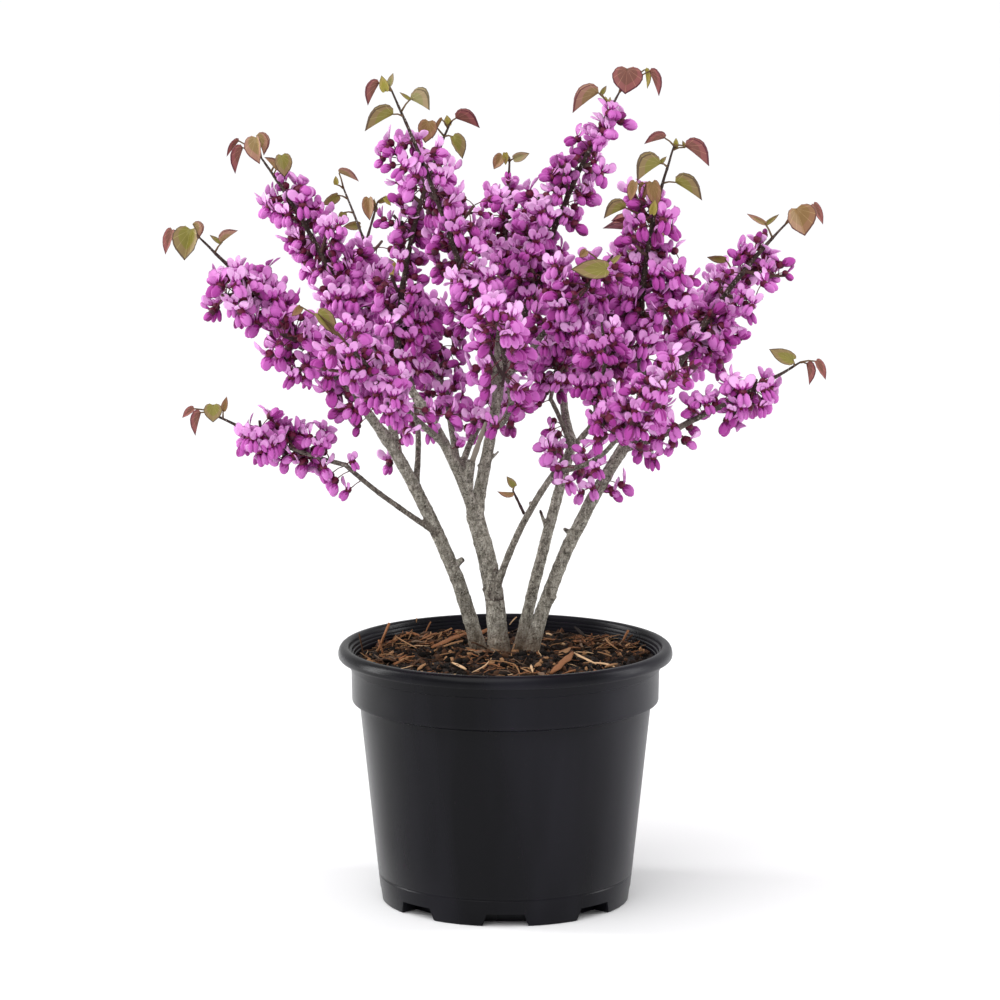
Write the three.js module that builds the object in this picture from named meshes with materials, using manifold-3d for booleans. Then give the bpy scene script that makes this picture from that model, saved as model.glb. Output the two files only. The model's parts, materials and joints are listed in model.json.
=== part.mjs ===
// A young multi-stemmed redbud in full blossom, grown in a 5 litre nursery pot.
//
// Millimetres, +Z up. The origin is the middle of the pot's flat underside.
// The pot and the potting mix stand in that frame. Everything that grows is in the group `plant`,
// whose own origin is the ground: the level of the potting mix on the pot's axis.
//
// Stems and boughs are tapering limbs on quadratic curves. Each bough ends in a mass of blossom: a spine
// that goes on from the bough, side twigs by a seeded rule, one bloom at each node and leaves at the tips.
// A mass keeps to its own space: the points that are nearer to its spine than to any other spine.

import * as THREE from "three";
import { mergeVertices } from "three/addons/utils/BufferGeometryUtils.js";
import Module from "manifold-3d";

const wasm = await Module();
wasm.setup();

// ---------------------------------------------------------------- driving dimensions

const CLEARANCE = 0.35; // between two solids that meet

const POT = {
  height: 174,
  wall: 2.2,
  floor: 2.6,
  footRadius: 84,
  bodyTopRadius: 98.2,
  bodyTop: 134.8,
  collarRadius: 103.2,
  collarBottom: 137.4,
  lipBottom: 165.5,
  lipRadius: 112.5,
  lipThickness: 7.2,
  facets: 32,
};
const NOTCH = { count: 8, height: 8.5, topWidth: 25, bottomWidth: 34, depth: 15, wall: 2, drain: 9 };
const MIX = { ground: 166, edgeDrop: 4, moundRadius: 34, facets: 32 };
const CHIP = { count: 14, length: 24, width: 6.5, thickness: 2.6, nearest: 44, furthest: 84 };

// Limbs: where each one leaves its parent (share of the parent's length), where it ends, how far its
// middle bows aside, and its radius at both ends. All in the plant's frame.
const STEM_SIDES = 8;
const BOUGH_SIDES = 5;
const FLARE = { share: 0.32, height: 9 };

const STEMS = {
  stem_left: { foot: [-17, 10], tip: [-79, -12, 150], bow: [15, 3, -4], radius: [5.2, 4.0] },
  stem_centre: { foot: [-4, -3], tip: [-21, 2, 97], bow: [7, 0, 0], radius: [6.9, 5.9] },
  stem_right_inner: { foot: [9, 16], tip: [46, 34, 141], bow: [-3, -2, 0], radius: [4.2, 3.4] },
  stem_right_outer: { foot: [16, -3], tip: [85, -8, 152], bow: [-17, 2, 0], radius: [4.9, 4.0] },
};

const BOUGHS = {
  bough_left: { from: "stem_left", at: 0.985, tip: [-105, -28, 187], bow: [2, 0, -2], radius: [3.5, 2.8] },
  bough_upper_left: { from: "stem_left", at: 0.93, tip: [-87, 18, 187], bow: [4, 6, 0], radius: [3.1, 2.6] },
  bough_low_left: { from: "stem_left", at: 0.58, tip: [-107, -27, 135], bow: [-1, 0, -4], radius: [2.0, 1.6] },
  bough_back_left: { from: "stem_left", at: 0.78, tip: [-62, 42, 175], bow: [5, 6, 0], radius: [2.1, 1.7] },
  bough_centre: { from: "stem_centre", at: 0.985, tip: [-2, 8, 193], bow: [2, 0, 4], radius: [4.6, 3.0] },
  bough_centre_left: { from: "stem_centre", at: 0.93, tip: [-54, -20, 171], bow: [6, 0, 1], radius: [4.1, 3.1] },
  bough_stump: { from: "bough_centre_left", at: 0.28, tip: [-23, -8, 134], bow: [0, 0, 0], radius: [3.4, 3.3] },
  bough_side: { from: "stem_centre", at: 0.42, tip: [57, -44, 163], bow: [-15, -4, 6], radius: [2.5, 2.0] },
  bough_right_back: { from: "stem_right_inner", at: 0.98, tip: [40, 62, 175], bow: [-4, -2, 4], radius: [3.1, 2.4] },
  bough_low_centre: { from: "stem_right_inner", at: 0.96, tip: [30, 14, 173], bow: [3, 0, -2], radius: [1.9, 1.5] },
  bough_right: { from: "stem_right_outer", at: 0.985, tip: [112, 14, 189], bow: [2, 0, -2], radius: [3.5, 2.8] },
  bough_right_top: { from: "stem_right_outer", at: 0.92, tip: [90, -28, 191], bow: [6, -4, 0], radius: [3.1, 2.6] },
  bough_low_right: { from: "stem_right_outer", at: 0.94, tip: [122, -38, 165], bow: [0, -4, -3], radius: [2.6, 2.0] },
  bough_front_right: { from: "bough_side", at: 0.72, tip: [66, -90, 154], bow: [4, 0, -6], radius: [1.9, 1.6] },
  bough_inner_left: { from: "bough_centre_left", at: 0.98, tip: [-72, 2, 197], bow: [-2, -4, 2], radius: [2.9, 2.4] },
  bough_front_left: { from: "bough_centre_left", at: 0.7, tip: [-62, -72, 175], bow: [4, -8, -4], radius: [2.5, 2.0] },
  bough_far_left: { from: "bough_centre_left", at: 0.42, tip: [-40, 70, 169], bow: [0, 8, -8], radius: [2.6, 2.0] },
  bough_top: { from: "bough_centre", at: 0.98, tip: [12, 24, 223], bow: [0, 0, 2], radius: [2.9, 2.5] },
  bough_top_left: { from: "bough_centre", at: 0.86, tip: [-18, -14, 223], bow: [-4, -4, 0], radius: [2.6, 2.2] },
  bough_centre_right: { from: "bough_centre", at: 0.94, tip: [24, -28, 221], bow: [2, -6, -4], radius: [2.5, 2.1] },
  bough_centre_back: { from: "bough_centre", at: 0.78, tip: [-4, 56, 211], bow: [-2, 8, 0], radius: [2.7, 2.2] },
  bough_front: { from: "bough_centre", at: 0.6, tip: [4, -66, 183], bow: [2, -6, -10], radius: [2.5, 2.0] },
  bough_back: { from: "bough_centre_left", at: 0.4, tip: [4, 80, 167], bow: [-12, 8, 5], radius: [2.4, 1.9] },
  bough_far_right: { from: "bough_right", at: 0.5, tip: [118, 66, 183], bow: [0, 6, -4], radius: [2.4, 1.9] },
};

// Masses of blossom: the bough that carries each, the tip of its spine and how far the spine's middle
// bows aside. `reach` is the length of its longest side twigs.
const MASSES = {
  blossom_left: { bough: "bough_left", tip: [-199, -60, 289], bow: [0, 0, 2], reach: 44 },
  blossom_upper_left: { bough: "bough_upper_left", tip: [-164, 50, 331], bow: [10, 0, 6], reach: 44 },
  blossom_low_left: { bough: "bough_low_left", tip: [-192, -40, 170], bow: [0, 0, -6], reach: 24 },
  blossom_back_left: { bough: "bough_back_left", tip: [-111, 114, 304], bow: [4, 4, 0], reach: 44 },
  blossom_inner_left: { bough: "bough_inner_left", tip: [-37, 22, 356], bow: [-18, 4, 0], reach: 36 },
  blossom_top_left: { bough: "bough_top_left", tip: [-74, -44, 383], bow: [8, -4, 0], reach: 36 },
  blossom_front_left: { bough: "bough_front_left", tip: [-102, -150, 233], bow: [0, 0, 0], reach: 44 },
  blossom_front: { bough: "bough_front", tip: [-6, -165, 247], bow: [0, 0, 6], reach: 46 },
  blossom_front_right: { bough: "bough_front_right", tip: [108, -152, 214], bow: [0, 0, 0], reach: 42 },
  blossom_centre_right: { bough: "bough_centre_right", tip: [69, -86, 280], bow: [0, 0, -4], reach: 42 },
  blossom_top: { bough: "bough_top", tip: [76, 34, 376], bow: [-10, 0, 2], reach: 38 },
  blossom_centre_back: { bough: "bough_centre_back", tip: [3, 100, 326], bow: [0, 2, 0], reach: 42 },
  blossom_right_top: { bough: "bough_right_top", tip: [109, -66, 349], bow: [-16, 0, 0], reach: 38 },
  blossom_right: { bough: "bough_right", tip: [188, 40, 287], bow: [-4, 0, 8], reach: 42 },
  blossom_low_right: { bough: "bough_low_right", tip: [193, -52, 206], bow: [0, 0, -2], reach: 28 },
  blossom_low_centre: { bough: "bough_low_centre", tip: [40, 0, 243], bow: [2, 0, 0], reach: 34 },
  blossom_inner_right: { bough: "bough_side", tip: [62, -82, 236], bow: [10, 0, 0], reach: 34 },
  blossom_right_back: { bough: "bough_right_back", tip: [98, 122, 278], bow: [0, 4, 0], reach: 44 },
  blossom_far_right: { bough: "bough_far_right", tip: [158, 128, 249], bow: [0, 4, 0], reach: 42 },
  blossom_far_left: { bough: "bough_far_left", tip: [-84, 160, 233], bow: [0, 4, 0], reach: 42 },
  blossom_back: { bough: "bough_back", tip: [16, 170, 243], bow: [0, 4, 0], reach: 44 },
};

// Pruned stubs, spurs and knots on the stems: share of the stem's length, compass bearing, how far each
// stands out, and its radius.
const STUBS = {
  stem_left: [[0.42, 10, 5, 2.0]],
  stem_centre: [
    [0.36, 190, 9, 1.0],
    [0.63, 250, 3, 2.6],
  ],
  stem_right_inner: [[0.58, 185, 11, 1.0]],
  stem_right_outer: [
    [0.26, -30, 3.5, 3.0],
    [0.55, 180, 4, 1.4],
  ],
};

// The growth rule.
const SPINE = { tipRadius: 1.1, sides: 4, rings: 5 };
const TWIG = { radius: 1.4, tipRadius: 0.9, firstShare: 0.08, lastShare: 0.74, spacing: 23, sag: 0.1, rings: 1 };
const NODE_SPACING = 15.8;
const BARE_TIP = 0.14; // share of a spine past its last bloom, where the leaves are
const GOLDEN_ANGLE = 137.508;
const BLOOM = { length: 28, widest: 0.64, width: 22, depth: 16 };
const LEAF = { length: 24, width: 20, thickness: 1.3, petiole: 11, perTip: 3 };
const FIT_SIZES = [1, 0.7]; // a bloom that leaves its mass's space is tried smaller, then skipped
const MARGIN = 0.6; // kept clear on both sides of the border between two masses, and round the limbs
const LOWEST = 8; // blossom stays this far above the ground

// ---------------------------------------------------------------- small helpers

const vec = (p) => new THREE.Vector3(...p);
const rad = THREE.MathUtils.degToRad;
const Z_UP = new THREE.Vector3(0, 0, 1);

// A number from 0 to 1 that depends only on its keys, so that every piece can be grown by itself.
function chance(...keys) {
  let h = 2166136261;
  for (const key of keys) {
    h = Math.imul(h ^ (key + 1013), 16777619);
    h ^= h >>> 13;
  }
  h = Math.imul(h ^ (h >>> 15), 2246822507);
  return ((h ^ (h >>> 13)) >>> 0) / 4294967296;
}

const between = (low, high, share) => low + (high - low) * share;

// A solid from a closed three.js geometry.
function solidOf(geometry) {
  const bare = new THREE.BufferGeometry().setAttribute("position", geometry.getAttribute("position"));
  if (geometry.index) bare.setIndex(geometry.index);
  const merged = mergeVertices(bare, 1e-4);
  const mesh = new wasm.Mesh({
    numProp: 3,
    vertProperties: merged.attributes.position.array,
    triVerts: new Uint32Array(merged.index.array),
  });
  return new wasm.Manifold(mesh);
}

// The largest body of a solid, without loose scraps and with sealed hollows filled.
function mainBody(solid) {
  return solid.decompose().reduce((a, b) => (b.volume() > a.volume() ? b : a));
}

function meshOf(name, solid, material) {
  const data = solid.getMesh();
  const geometry = new THREE.BufferGeometry();
  geometry.setAttribute("position", new THREE.BufferAttribute(new Float32Array(data.vertProperties), 3));
  geometry.setIndex(new THREE.BufferAttribute(new Uint32Array(data.triVerts), 1));
  geometry.computeVertexNormals();
  const mesh = new THREE.Mesh(geometry, material);
  mesh.name = name;
  return mesh;
}

// Two directions across `along`, the same for every ring of one limb.
function crossFrame(along) {
  const reference = Math.abs(along.y) < 0.8 ? new THREE.Vector3(0, 1, 0) : new THREE.Vector3(1, 0, 0);
  const across = new THREE.Vector3().crossVectors(along, reference).normalize();
  return [across, new THREE.Vector3().crossVectors(across, along).normalize()];
}

// ---------------------------------------------------------------- limbs

// A limb's route and thickness. `at(t)` gives its axis, `thickness(t)` its radius.
class Limb {
  constructor(start, tip, bow, radius, { flare = false, sides, rings }) {
    const middle = new THREE.Vector3().addVectors(start, tip).multiplyScalar(0.5).add(bow);
    this.curve = new THREE.QuadraticBezierCurve3(start, middle, tip);
    this.length = this.curve.getLength();
    this.radius = radius;
    this.flare = flare;
    this.sides = sides;
    this.rings = rings;
    this.axis = this.curve.getPoints(12);
    this.chord = new THREE.Vector3().subVectors(tip, start).normalize();
  }

  at(t) {
    return this.curve.getPoint(t);
  }

  thickness(t) {
    const plain = between(this.radius[0], this.radius[1], t);
    return this.flare ? plain * (1 + FLARE.share * Math.exp((-t * this.length) / FLARE.height)) : plain;
  }

  // A cylinder bent along the route. `grow` makes it fatter and longer, for cutting a clearance.
  solid(grow = 0) {
    const bent = new THREE.CylinderGeometry(1, 1, 1, this.sides, this.rings);
    const place = bent.getAttribute("position");
    const [across, side] = crossFrame(this.chord);
    for (let i = 0; i < place.count; i++) {
      const t = place.getY(i) + 0.5;
      const r = this.thickness(t) + grow;
      const end = t > 0.999 ? grow : 0;
      const tangent = this.curve.getTangent(t);
      const u = across.clone().addScaledVector(tangent, -across.dot(tangent)).normalize();
      const v = side.clone().addScaledVector(tangent, -side.dot(tangent)).addScaledVector(u, -side.dot(u)).normalize();
      const p = this.at(t)
        .addScaledVector(u, place.getX(i) * r)
        .addScaledVector(v, place.getZ(i) * r)
        .addScaledVector(tangent, end);
      place.setXYZ(i, p.x, p.y, p.z);
    }
    return solidOf(bent);
  }
}

// How far a point is from a limb's axis.
function distanceTo(point, axis) {
  let best = Infinity;
  const step = new THREE.Vector3();
  const away = new THREE.Vector3();
  for (let i = 1; i < axis.length; i++) {
    step.subVectors(axis[i], axis[i - 1]);
    away.subVectors(point, axis[i - 1]);
    const share = THREE.MathUtils.clamp(away.dot(step) / step.lengthSq(), 0, 1);
    best = Math.min(best, away.addScaledVector(step, -share).length());
  }
  return best;
}

function stubSolid(limb, [share, bearing, length, radius]) {
  const base = limb.at(share);
  const out = new THREE.Vector3(Math.cos(rad(bearing)), Math.sin(rad(bearing)), 0.75).normalize();
  const reach = limb.thickness(share) + length;
  const tip = base.clone().addScaledVector(out, reach);
  const stub = new Limb(base, tip, new THREE.Vector3(), [radius * 1.3, radius], { sides: 5, rings: 1 });
  return stub.solid();
}

const limbs = {};
const limbSolids = {};

function growStems() {
  for (const [name, s] of Object.entries(STEMS)) {
    const buried = new THREE.Vector3(s.foot[0], s.foot[1], -2);
    const limb = new Limb(buried, vec(s.tip), vec(s.bow), s.radius, { flare: true, sides: STEM_SIDES, rings: 7 });
    const stubs = (STUBS[name] ?? []).map((stub) => stubSolid(limb, stub));
    const whole = wasm.Manifold.union([limb.solid(), ...stubs]);
    limbs[name] = limb;
    limbSolids[name] = mainBody(whole.trimByPlane([0, 0, 1], CLEARANCE));
  }
}

function growBoughs() {
  for (const [name, b] of Object.entries(BOUGHS)) {
    const parent = limbs[b.from];
    const limb = new Limb(parent.at(b.at), vec(b.tip), vec(b.bow), b.radius, { sides: BOUGH_SIDES, rings: 4 });
    const earlier = Object.values(limbs).map((other) => other.solid(CLEARANCE));
    limbs[name] = limb;
    limbSolids[name] = mainBody(limb.solid().subtract(wasm.Manifold.union(earlier)));
  }
}

// ---------------------------------------------------------------- blossom and leaves

// Puts a geometry made along +X, with +Z as its upper side, at `base` pointing along `out`.
function aim(geometry, base, out, up = Z_UP) {
  const y = new THREE.Vector3().crossVectors(up, out);
  if (y.lengthSq() < 1e-4) y.set(0, 1, 0);
  y.normalize();
  const z = new THREE.Vector3().crossVectors(out, y);
  const turn = new THREE.Matrix4().makeBasis(out, y, z).setPosition(base);
  return geometry.applyMatrix4(turn);
}

// A slim three-sided stalk from `from` to `to`.
function stalk(from, to, thick, thin) {
  const limb = new Limb(from, to, new THREE.Vector3(), [thick, thin], { sides: 3, rings: 1 });
  return limb.solid();
}

// Two apexes joined to a ring of corners, which run anticlockwise seen from the top apex.
function bipyramid(bottom, ring, top) {
  const shape = new THREE.SphereGeometry(1, ring.length, 2);
  const { position: place, uv: round } = shape.attributes;
  for (let i = 0; i < place.count; i++) {
    const height = place.getY(i);
    const corner = ring[Math.round(round.getX(i) * ring.length) % ring.length];
    place.setXYZ(i, ...(height > 0.5 ? top : height < -0.5 ? bottom : corner));
  }
  return shape;
}

// One bloom, a spray of pea flowers in outline: its slim foot is in the twig, it is widest past its
// middle, and it has a broad underside and a narrower back like the standard petals.
function bloomPieces(base, out, size) {
  const [long, half, deep] = [BLOOM.length * size, (BLOOM.width / 2) * size, BLOOM.depth * size];
  const waist = BLOOM.widest * long;
  const ring = [
    [waist, 0, 0.6 * deep],
    [waist, -half, -0.4 * deep],
    [waist, half, -0.4 * deep],
  ];
  return [solidOf(aim(bipyramid([0, 0, 0], ring, [long, 0, 0]), base, out))];
}

// One heart-shaped leaf on its petiole, folded a little along its midrib.
function leafPieces(base, out, size) {
  const [long, half] = [LEAF.length * size, (LEAF.width / 2) * size];
  const fold = 0.3 * half;
  const heart = [
    [0.12 * long, 0, 0],
    [-0.06 * long, -0.68 * half, fold * 0.7],
    [0.38 * long, -half, fold],
    [long, 0, 0],
    [0.38 * long, half, fold],
    [-0.06 * long, 0.68 * half, fold * 0.7],
  ];
  const joint = base.clone().addScaledVector(out, LEAF.petiole * size);
  const hang = out.clone().addScaledVector(Z_UP, -0.9).normalize();
  const midrib = [0.4 * long, 0];
  const blade = bipyramid([...midrib, -LEAF.thickness], heart, [...midrib, 0]);
  const petioleEnd = joint.clone().addScaledVector(hang, 0.3 * long);
  return [stalk(base, petioleEnd, 0.7, 0.6), solidOf(aim(blade, joint, hang))];
}

// ---------------------------------------------------------------- masses

// Every bloom, leaf and twig must keep to its mass's own space and stay clear of the limbs.
class Space {
  constructor(name, spines, thickLimbs) {
    this.own = spines[name].axis;
    this.others = Object.keys(spines)
      .filter((other) => other !== name)
      .map((other) => spines[other].axis);
    this.thickLimbs = thickLimbs;
  }

  owns(point) {
    const near = distanceTo(point, this.own) + 2 * MARGIN;
    return point.z > LOWEST && this.others.every((axis) => distanceTo(point, axis) > near);
  }

  takes(solids) {
    return solids.every((solid) => {
      const { vertProperties: v } = solid.getMesh();
      for (let i = 0; i < v.length; i += 3) {
        if (!this.owns(new THREE.Vector3(v[i], v[i + 1], v[i + 2]))) return false;
      }
      return this.thickLimbs.intersect(solid).isEmpty();
    });
  }
}

// The side twigs of a spine, at golden-angle steps round it.
function sideTwigs(seed, spine, reach) {
  const count = Math.round(((TWIG.lastShare - TWIG.firstShare) * spine.length) / TWIG.spacing);
  return Array.from({ length: count }, (_, i) => {
    const share = between(TWIG.firstShare, TWIG.lastShare, (i + 0.5) / count);
    const turn = rad(i * GOLDEN_ANGLE + 360 * chance(seed, i, 1));
    const [u, v] = crossFrame(spine.chord);
    const aside = u.multiplyScalar(Math.cos(turn)).addScaledVector(v, Math.sin(turn));
    const along = spine.curve.getTangent(share);
    const out = aside.addScaledVector(along, 0.62).normalize();
    const length = reach * between(0.6, 1, chance(seed, i, 2)) * (1 - 0.45 * share);
    const start = spine.at(share);
    const tip = start.clone().addScaledVector(out, length);
    const bow = new THREE.Vector3(0, 0, -TWIG.sag * length);
    return new Limb(start, tip, bow, [TWIG.radius, TWIG.tipRadius], { sides: 3, rings: TWIG.rings });
  });
}

// Where the blooms sit on a twig, and which way each one points.
function bloomNodes(seed, limb, first, last) {
  const count = Math.max(1, Math.round(((last - first) * limb.length) / NODE_SPACING));
  return Array.from({ length: count }, (_, i) => {
    const share = between(first, last, (i + 0.5) / count);
    const turn = rad(i * GOLDEN_ANGLE + 360 * chance(seed, i, 3));
    const [u, v] = crossFrame(limb.chord);
    const out = u
      .multiplyScalar(Math.cos(turn))
      .addScaledVector(v, Math.sin(turn))
      .addScaledVector(limb.curve.getTangent(share), 0.25)
      .normalize();
    return { base: limb.at(share), out, size: between(0.9, 1.12, chance(seed, i, 4)) };
  });
}

function growMass(index, name, spines, thickLimbs) {
  const mass = MASSES[name];
  const spine = spines[name];
  const space = new Space(name, spines, thickLimbs);
  const pieces = [spine.solid().subtract(limbs[mass.bough].solid(CLEARANCE))];
  const twigs = sideTwigs(index, spine, mass.reach).filter((twig) => space.takes([twig.solid()]));
  const bearers = [[spine, 0.05, 1 - BARE_TIP], ...twigs.map((twig) => [twig, 0.35, 1])];
  bearers.forEach(([limb, first, last], row) => {
    if (row > 0) pieces.push(limb.solid());
    for (const node of bloomNodes(index * 100 + row, limb, first, last)) {
      const fitting = FIT_SIZES.map((fit) => bloomPieces(node.base, node.out, node.size * fit)).find(
        (bloom) => space.takes(bloom),
      );
      pieces.push(...(fitting ?? []));
    }
  });
  for (let i = 0; i < LEAF.perTip; i++) {
    const share = between(1 - BARE_TIP, 0.985, i / (LEAF.perTip - 1));
    const turn = rad(i * GOLDEN_ANGLE + 360 * chance(index, i, 5));
    const along = spine.curve.getTangent(share);
    const [u, v] = crossFrame(along);
    const out = u.multiplyScalar(Math.cos(turn)).addScaledVector(v, Math.sin(turn)).addScaledVector(along, 0.7).normalize();
    const leaf = leafPieces(spine.at(share), out, between(0.75, 1.1, chance(index, i, 6)));
    if (space.takes(leaf)) pieces.push(...leaf);
  }
  return mainBody(wasm.Manifold.union(pieces));
}

function growMasses() {
  const spines = {};
  for (const [name, m] of Object.entries(MASSES)) {
    const bough = limbs[m.bough];
    const radius = [bough.radius[1] * 0.95, SPINE.tipRadius];
    spines[name] = new Limb(bough.at(0.985), vec(m.tip), vec(m.bow), radius, SPINE);
  }
  const thickLimbs = wasm.Manifold.union(Object.values(limbs).map((limb) => limb.solid(MARGIN)));
  const grown = Object.keys(MASSES).map((name, index) => [name, growMass(index, name, spines, thickLimbs)]);
  return Object.fromEntries(grown);
}

// ---------------------------------------------------------------- pot and potting mix

// A closed profile of [radius, height] pairs turned round the Z axis.
function turned(profile, facets) {
  const lathe = new THREE.LatheGeometry(
    profile.map(([r, z]) => new THREE.Vector2(r, z)),
    facets,
  );
  return solidOf(lathe.rotateX(Math.PI / 2));
}

// The inside of the pot's body, below the collar, at a height.
function innerRadius(z) {
  const slope = (POT.bodyTopRadius - POT.footRadius) / POT.bodyTop;
  return POT.footRadius + slope * z - POT.wall;
}

function trapezoid(bottomWidth, topWidth, height, depth) {
  const face = new THREE.Shape([
    new THREE.Vector2(-bottomWidth / 2, 0),
    new THREE.Vector2(bottomWidth / 2, 0),
    new THREE.Vector2(topWidth / 2, height),
    new THREE.Vector2(-topWidth / 2, height),
  ]);
  return new THREE.ExtrudeGeometry(face, { depth, bevelEnabled: false, steps: 1 }).rotateX(Math.PI / 2);
}

// A recess in the foot: `grow` 0 is the hollow, NOTCH.wall the housing round it.
function notch(turn, grow, inwards) {
  const reach = NOTCH.depth + grow;
  const body = trapezoid(
    NOTCH.bottomWidth + 2 * grow,
    NOTCH.topWidth + 2 * grow,
    NOTCH.height + grow,
    reach + inwards,
  );
  body.translate(0, -(POT.footRadius - reach), grow ? 0 : -0.01);
  return solidOf(body.rotateZ(turn));
}

function makePot() {
  const p = POT;
  const lipInner = p.lipRadius - p.lipThickness;
  const profile = [
    [0, 0],
    [p.footRadius - 1.5, 0],
    [p.footRadius, 1.5],
    [p.bodyTopRadius, p.bodyTop],
    [p.collarRadius, p.collarBottom],
    [p.collarRadius + 0.6, p.lipBottom],
    [p.lipRadius - 1.2, p.lipBottom],
    [p.lipRadius, p.lipBottom + 2.5],
    [p.lipRadius - 3.5, p.height],
    [lipInner, p.height - 0.8],
    [p.collarRadius - p.wall, p.height - 8],
    [p.collarRadius - p.wall, p.collarBottom + 0.6],
    [innerRadius(p.bodyTop), p.bodyTop + 0.6],
    [innerRadius(p.floor), p.floor],
    [0, p.floor],
  ];
  let pot = turned(profile, p.facets);
  const inside = turned([[0, -1], [p.footRadius - 1, -1], [p.footRadius - 1, 20], [0, 20]], p.facets);
  for (let i = 0; i < NOTCH.count; i++) {
    const turn = (i * 2 * Math.PI) / NOTCH.count;
    pot = pot.add(notch(turn, NOTCH.wall, 0).intersect(inside)).subtract(notch(turn, 0, 6));
    const drain = new THREE.BoxGeometry(NOTCH.drain, 4, 20);
    drain.translate(0, -(p.footRadius - NOTCH.depth + 3.5), 6).rotateZ(turn);
    pot = pot.subtract(solidOf(drain));
  }
  return mainBody(pot);
}

function makeMix() {
  const stepRadius = POT.footRadius - NOTCH.depth - NOTCH.wall - 2.5;
  const stepHeight = NOTCH.height + NOTCH.wall + CLEARANCE;
  const slack = 2 * CLEARANCE;
  const collarInner = POT.collarRadius - POT.wall;
  const surface = MIX.ground;
  const profile = [
    [0, POT.floor + CLEARANCE],
    [stepRadius, POT.floor + CLEARANCE],
    [stepRadius, stepHeight],
    [innerRadius(stepHeight) - slack, stepHeight],
    [innerRadius(POT.bodyTop) - slack, POT.bodyTop + 1],
    [collarInner - slack, POT.collarBottom + 1.6],
    [collarInner - slack, surface - MIX.edgeDrop],
    [MIX.moundRadius, surface],
    [0, surface],
  ];
  const chips = Array.from({ length: CHIP.count }, (_, i) => {
    const draw = (low, high, use) => between(low, high, chance(900, i, use));
    const chip = new THREE.BoxGeometry(
      CHIP.length * draw(0.5, 1.1, 1),
      CHIP.width * draw(0.6, 1.2, 2),
      CHIP.thickness * draw(0.7, 1.3, 3),
    );
    const distance = between(CHIP.nearest, CHIP.furthest, Math.sqrt(chance(900, i, 0)));
    const bearing = rad(i * GOLDEN_ANGLE);
    chip.rotateX(rad(draw(-30, 30, 4)));
    chip.rotateY(rad(draw(-24, 24, 5)));
    chip.rotateZ(rad(draw(0, 360, 6)));
    chip.translate(distance * Math.cos(bearing), distance * Math.sin(bearing), surface - MIX.edgeDrop * 0.55);
    return solidOf(chip);
  });
  return mainBody(wasm.Manifold.union([turned(profile, MIX.facets), ...chips]));
}

// ---------------------------------------------------------------- assembly

const finish = (color, roughness) => new THREE.MeshStandardMaterial({ color, roughness, metalness: 0 });
const FINISHES = {
  plastic: finish(0x26262a, 0.45),
  mulch: finish(0x5a3c28, 0.95),
  bark: finish(0x6e665c, 0.85),
  blossom: finish(0xb84fae, 0.6),
};

const redbud = new THREE.Group();
redbud.add(meshOf("pot", makePot(), FINISHES.plastic));
redbud.add(meshOf("potting_mix", makeMix(), FINISHES.mulch));

growStems();
growBoughs();
const masses = growMasses();

const plant = new THREE.Group();
plant.position.z = MIX.ground;
for (const [name, solid] of Object.entries(limbSolids)) plant.add(meshOf(name, solid, FINISHES.bark));
for (const [name, solid] of Object.entries(masses)) plant.add(meshOf(name, solid, FINISHES.blossom));
redbud.add(plant);

export default redbud;
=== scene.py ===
"""The looks of a young redbud in full blossom, grown in a five litre nursery pot.

The tables hold millimetres, as the part's source does, and the meshes are in metres. The plant's
tables count from the ground, which is the level of the potting mix on the pot's axis.
"""

from __future__ import annotations

import json
import logging
import math
from dataclasses import dataclass, field
from enum import Enum, IntEnum
from typing import Callable, Iterable, Iterator, Sequence, TypeVar

import bmesh
import bpy
import numpy as np
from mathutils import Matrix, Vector, kdtree, noise

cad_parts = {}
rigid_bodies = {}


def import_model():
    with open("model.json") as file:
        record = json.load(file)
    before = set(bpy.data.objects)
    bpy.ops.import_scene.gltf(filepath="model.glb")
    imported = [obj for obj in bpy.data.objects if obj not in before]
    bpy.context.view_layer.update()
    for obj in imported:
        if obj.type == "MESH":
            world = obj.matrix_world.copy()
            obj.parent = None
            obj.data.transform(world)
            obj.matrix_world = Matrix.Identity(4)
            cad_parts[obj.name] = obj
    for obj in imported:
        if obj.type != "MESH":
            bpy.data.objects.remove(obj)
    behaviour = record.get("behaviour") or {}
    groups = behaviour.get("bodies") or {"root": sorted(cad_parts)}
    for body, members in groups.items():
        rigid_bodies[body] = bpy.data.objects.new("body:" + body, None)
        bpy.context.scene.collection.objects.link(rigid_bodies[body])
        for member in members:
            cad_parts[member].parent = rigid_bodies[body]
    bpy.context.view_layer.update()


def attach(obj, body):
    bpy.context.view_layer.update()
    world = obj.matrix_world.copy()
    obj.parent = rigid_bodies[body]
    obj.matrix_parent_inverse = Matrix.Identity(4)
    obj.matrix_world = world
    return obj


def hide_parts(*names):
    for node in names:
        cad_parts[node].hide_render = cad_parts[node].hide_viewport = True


LOG = logging.getLogger("redbud")
MM = 0.001
BODY = "root"
GROUND = 166.0
GOLDEN_ANGLE = 137.508
# The whole numbers of the seeded draws, which are the same in the part's source.
WORD = 0xFFFFFFFF
FIRST_HASH, HASH_STEP, HASH_STIR, KEY_SHIFT = 2166136261, 16777619, 2246822507, 1013

Colour = tuple[int, int, int]
Pair = tuple[float, float]
Point = tuple[float, float, float]
Array = np.ndarray
Piece = bpy.types.Object
Material = bpy.types.Material
Socket = bpy.types.NodeSocket
Choice = TypeVar("Choice")
UP = np.array([0.0, 0.0, 1.0])
RAISED = np.array([0.0, 0.0, GROUND])


# ---------------------------------------------------------------- seeded numbers and directions


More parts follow.
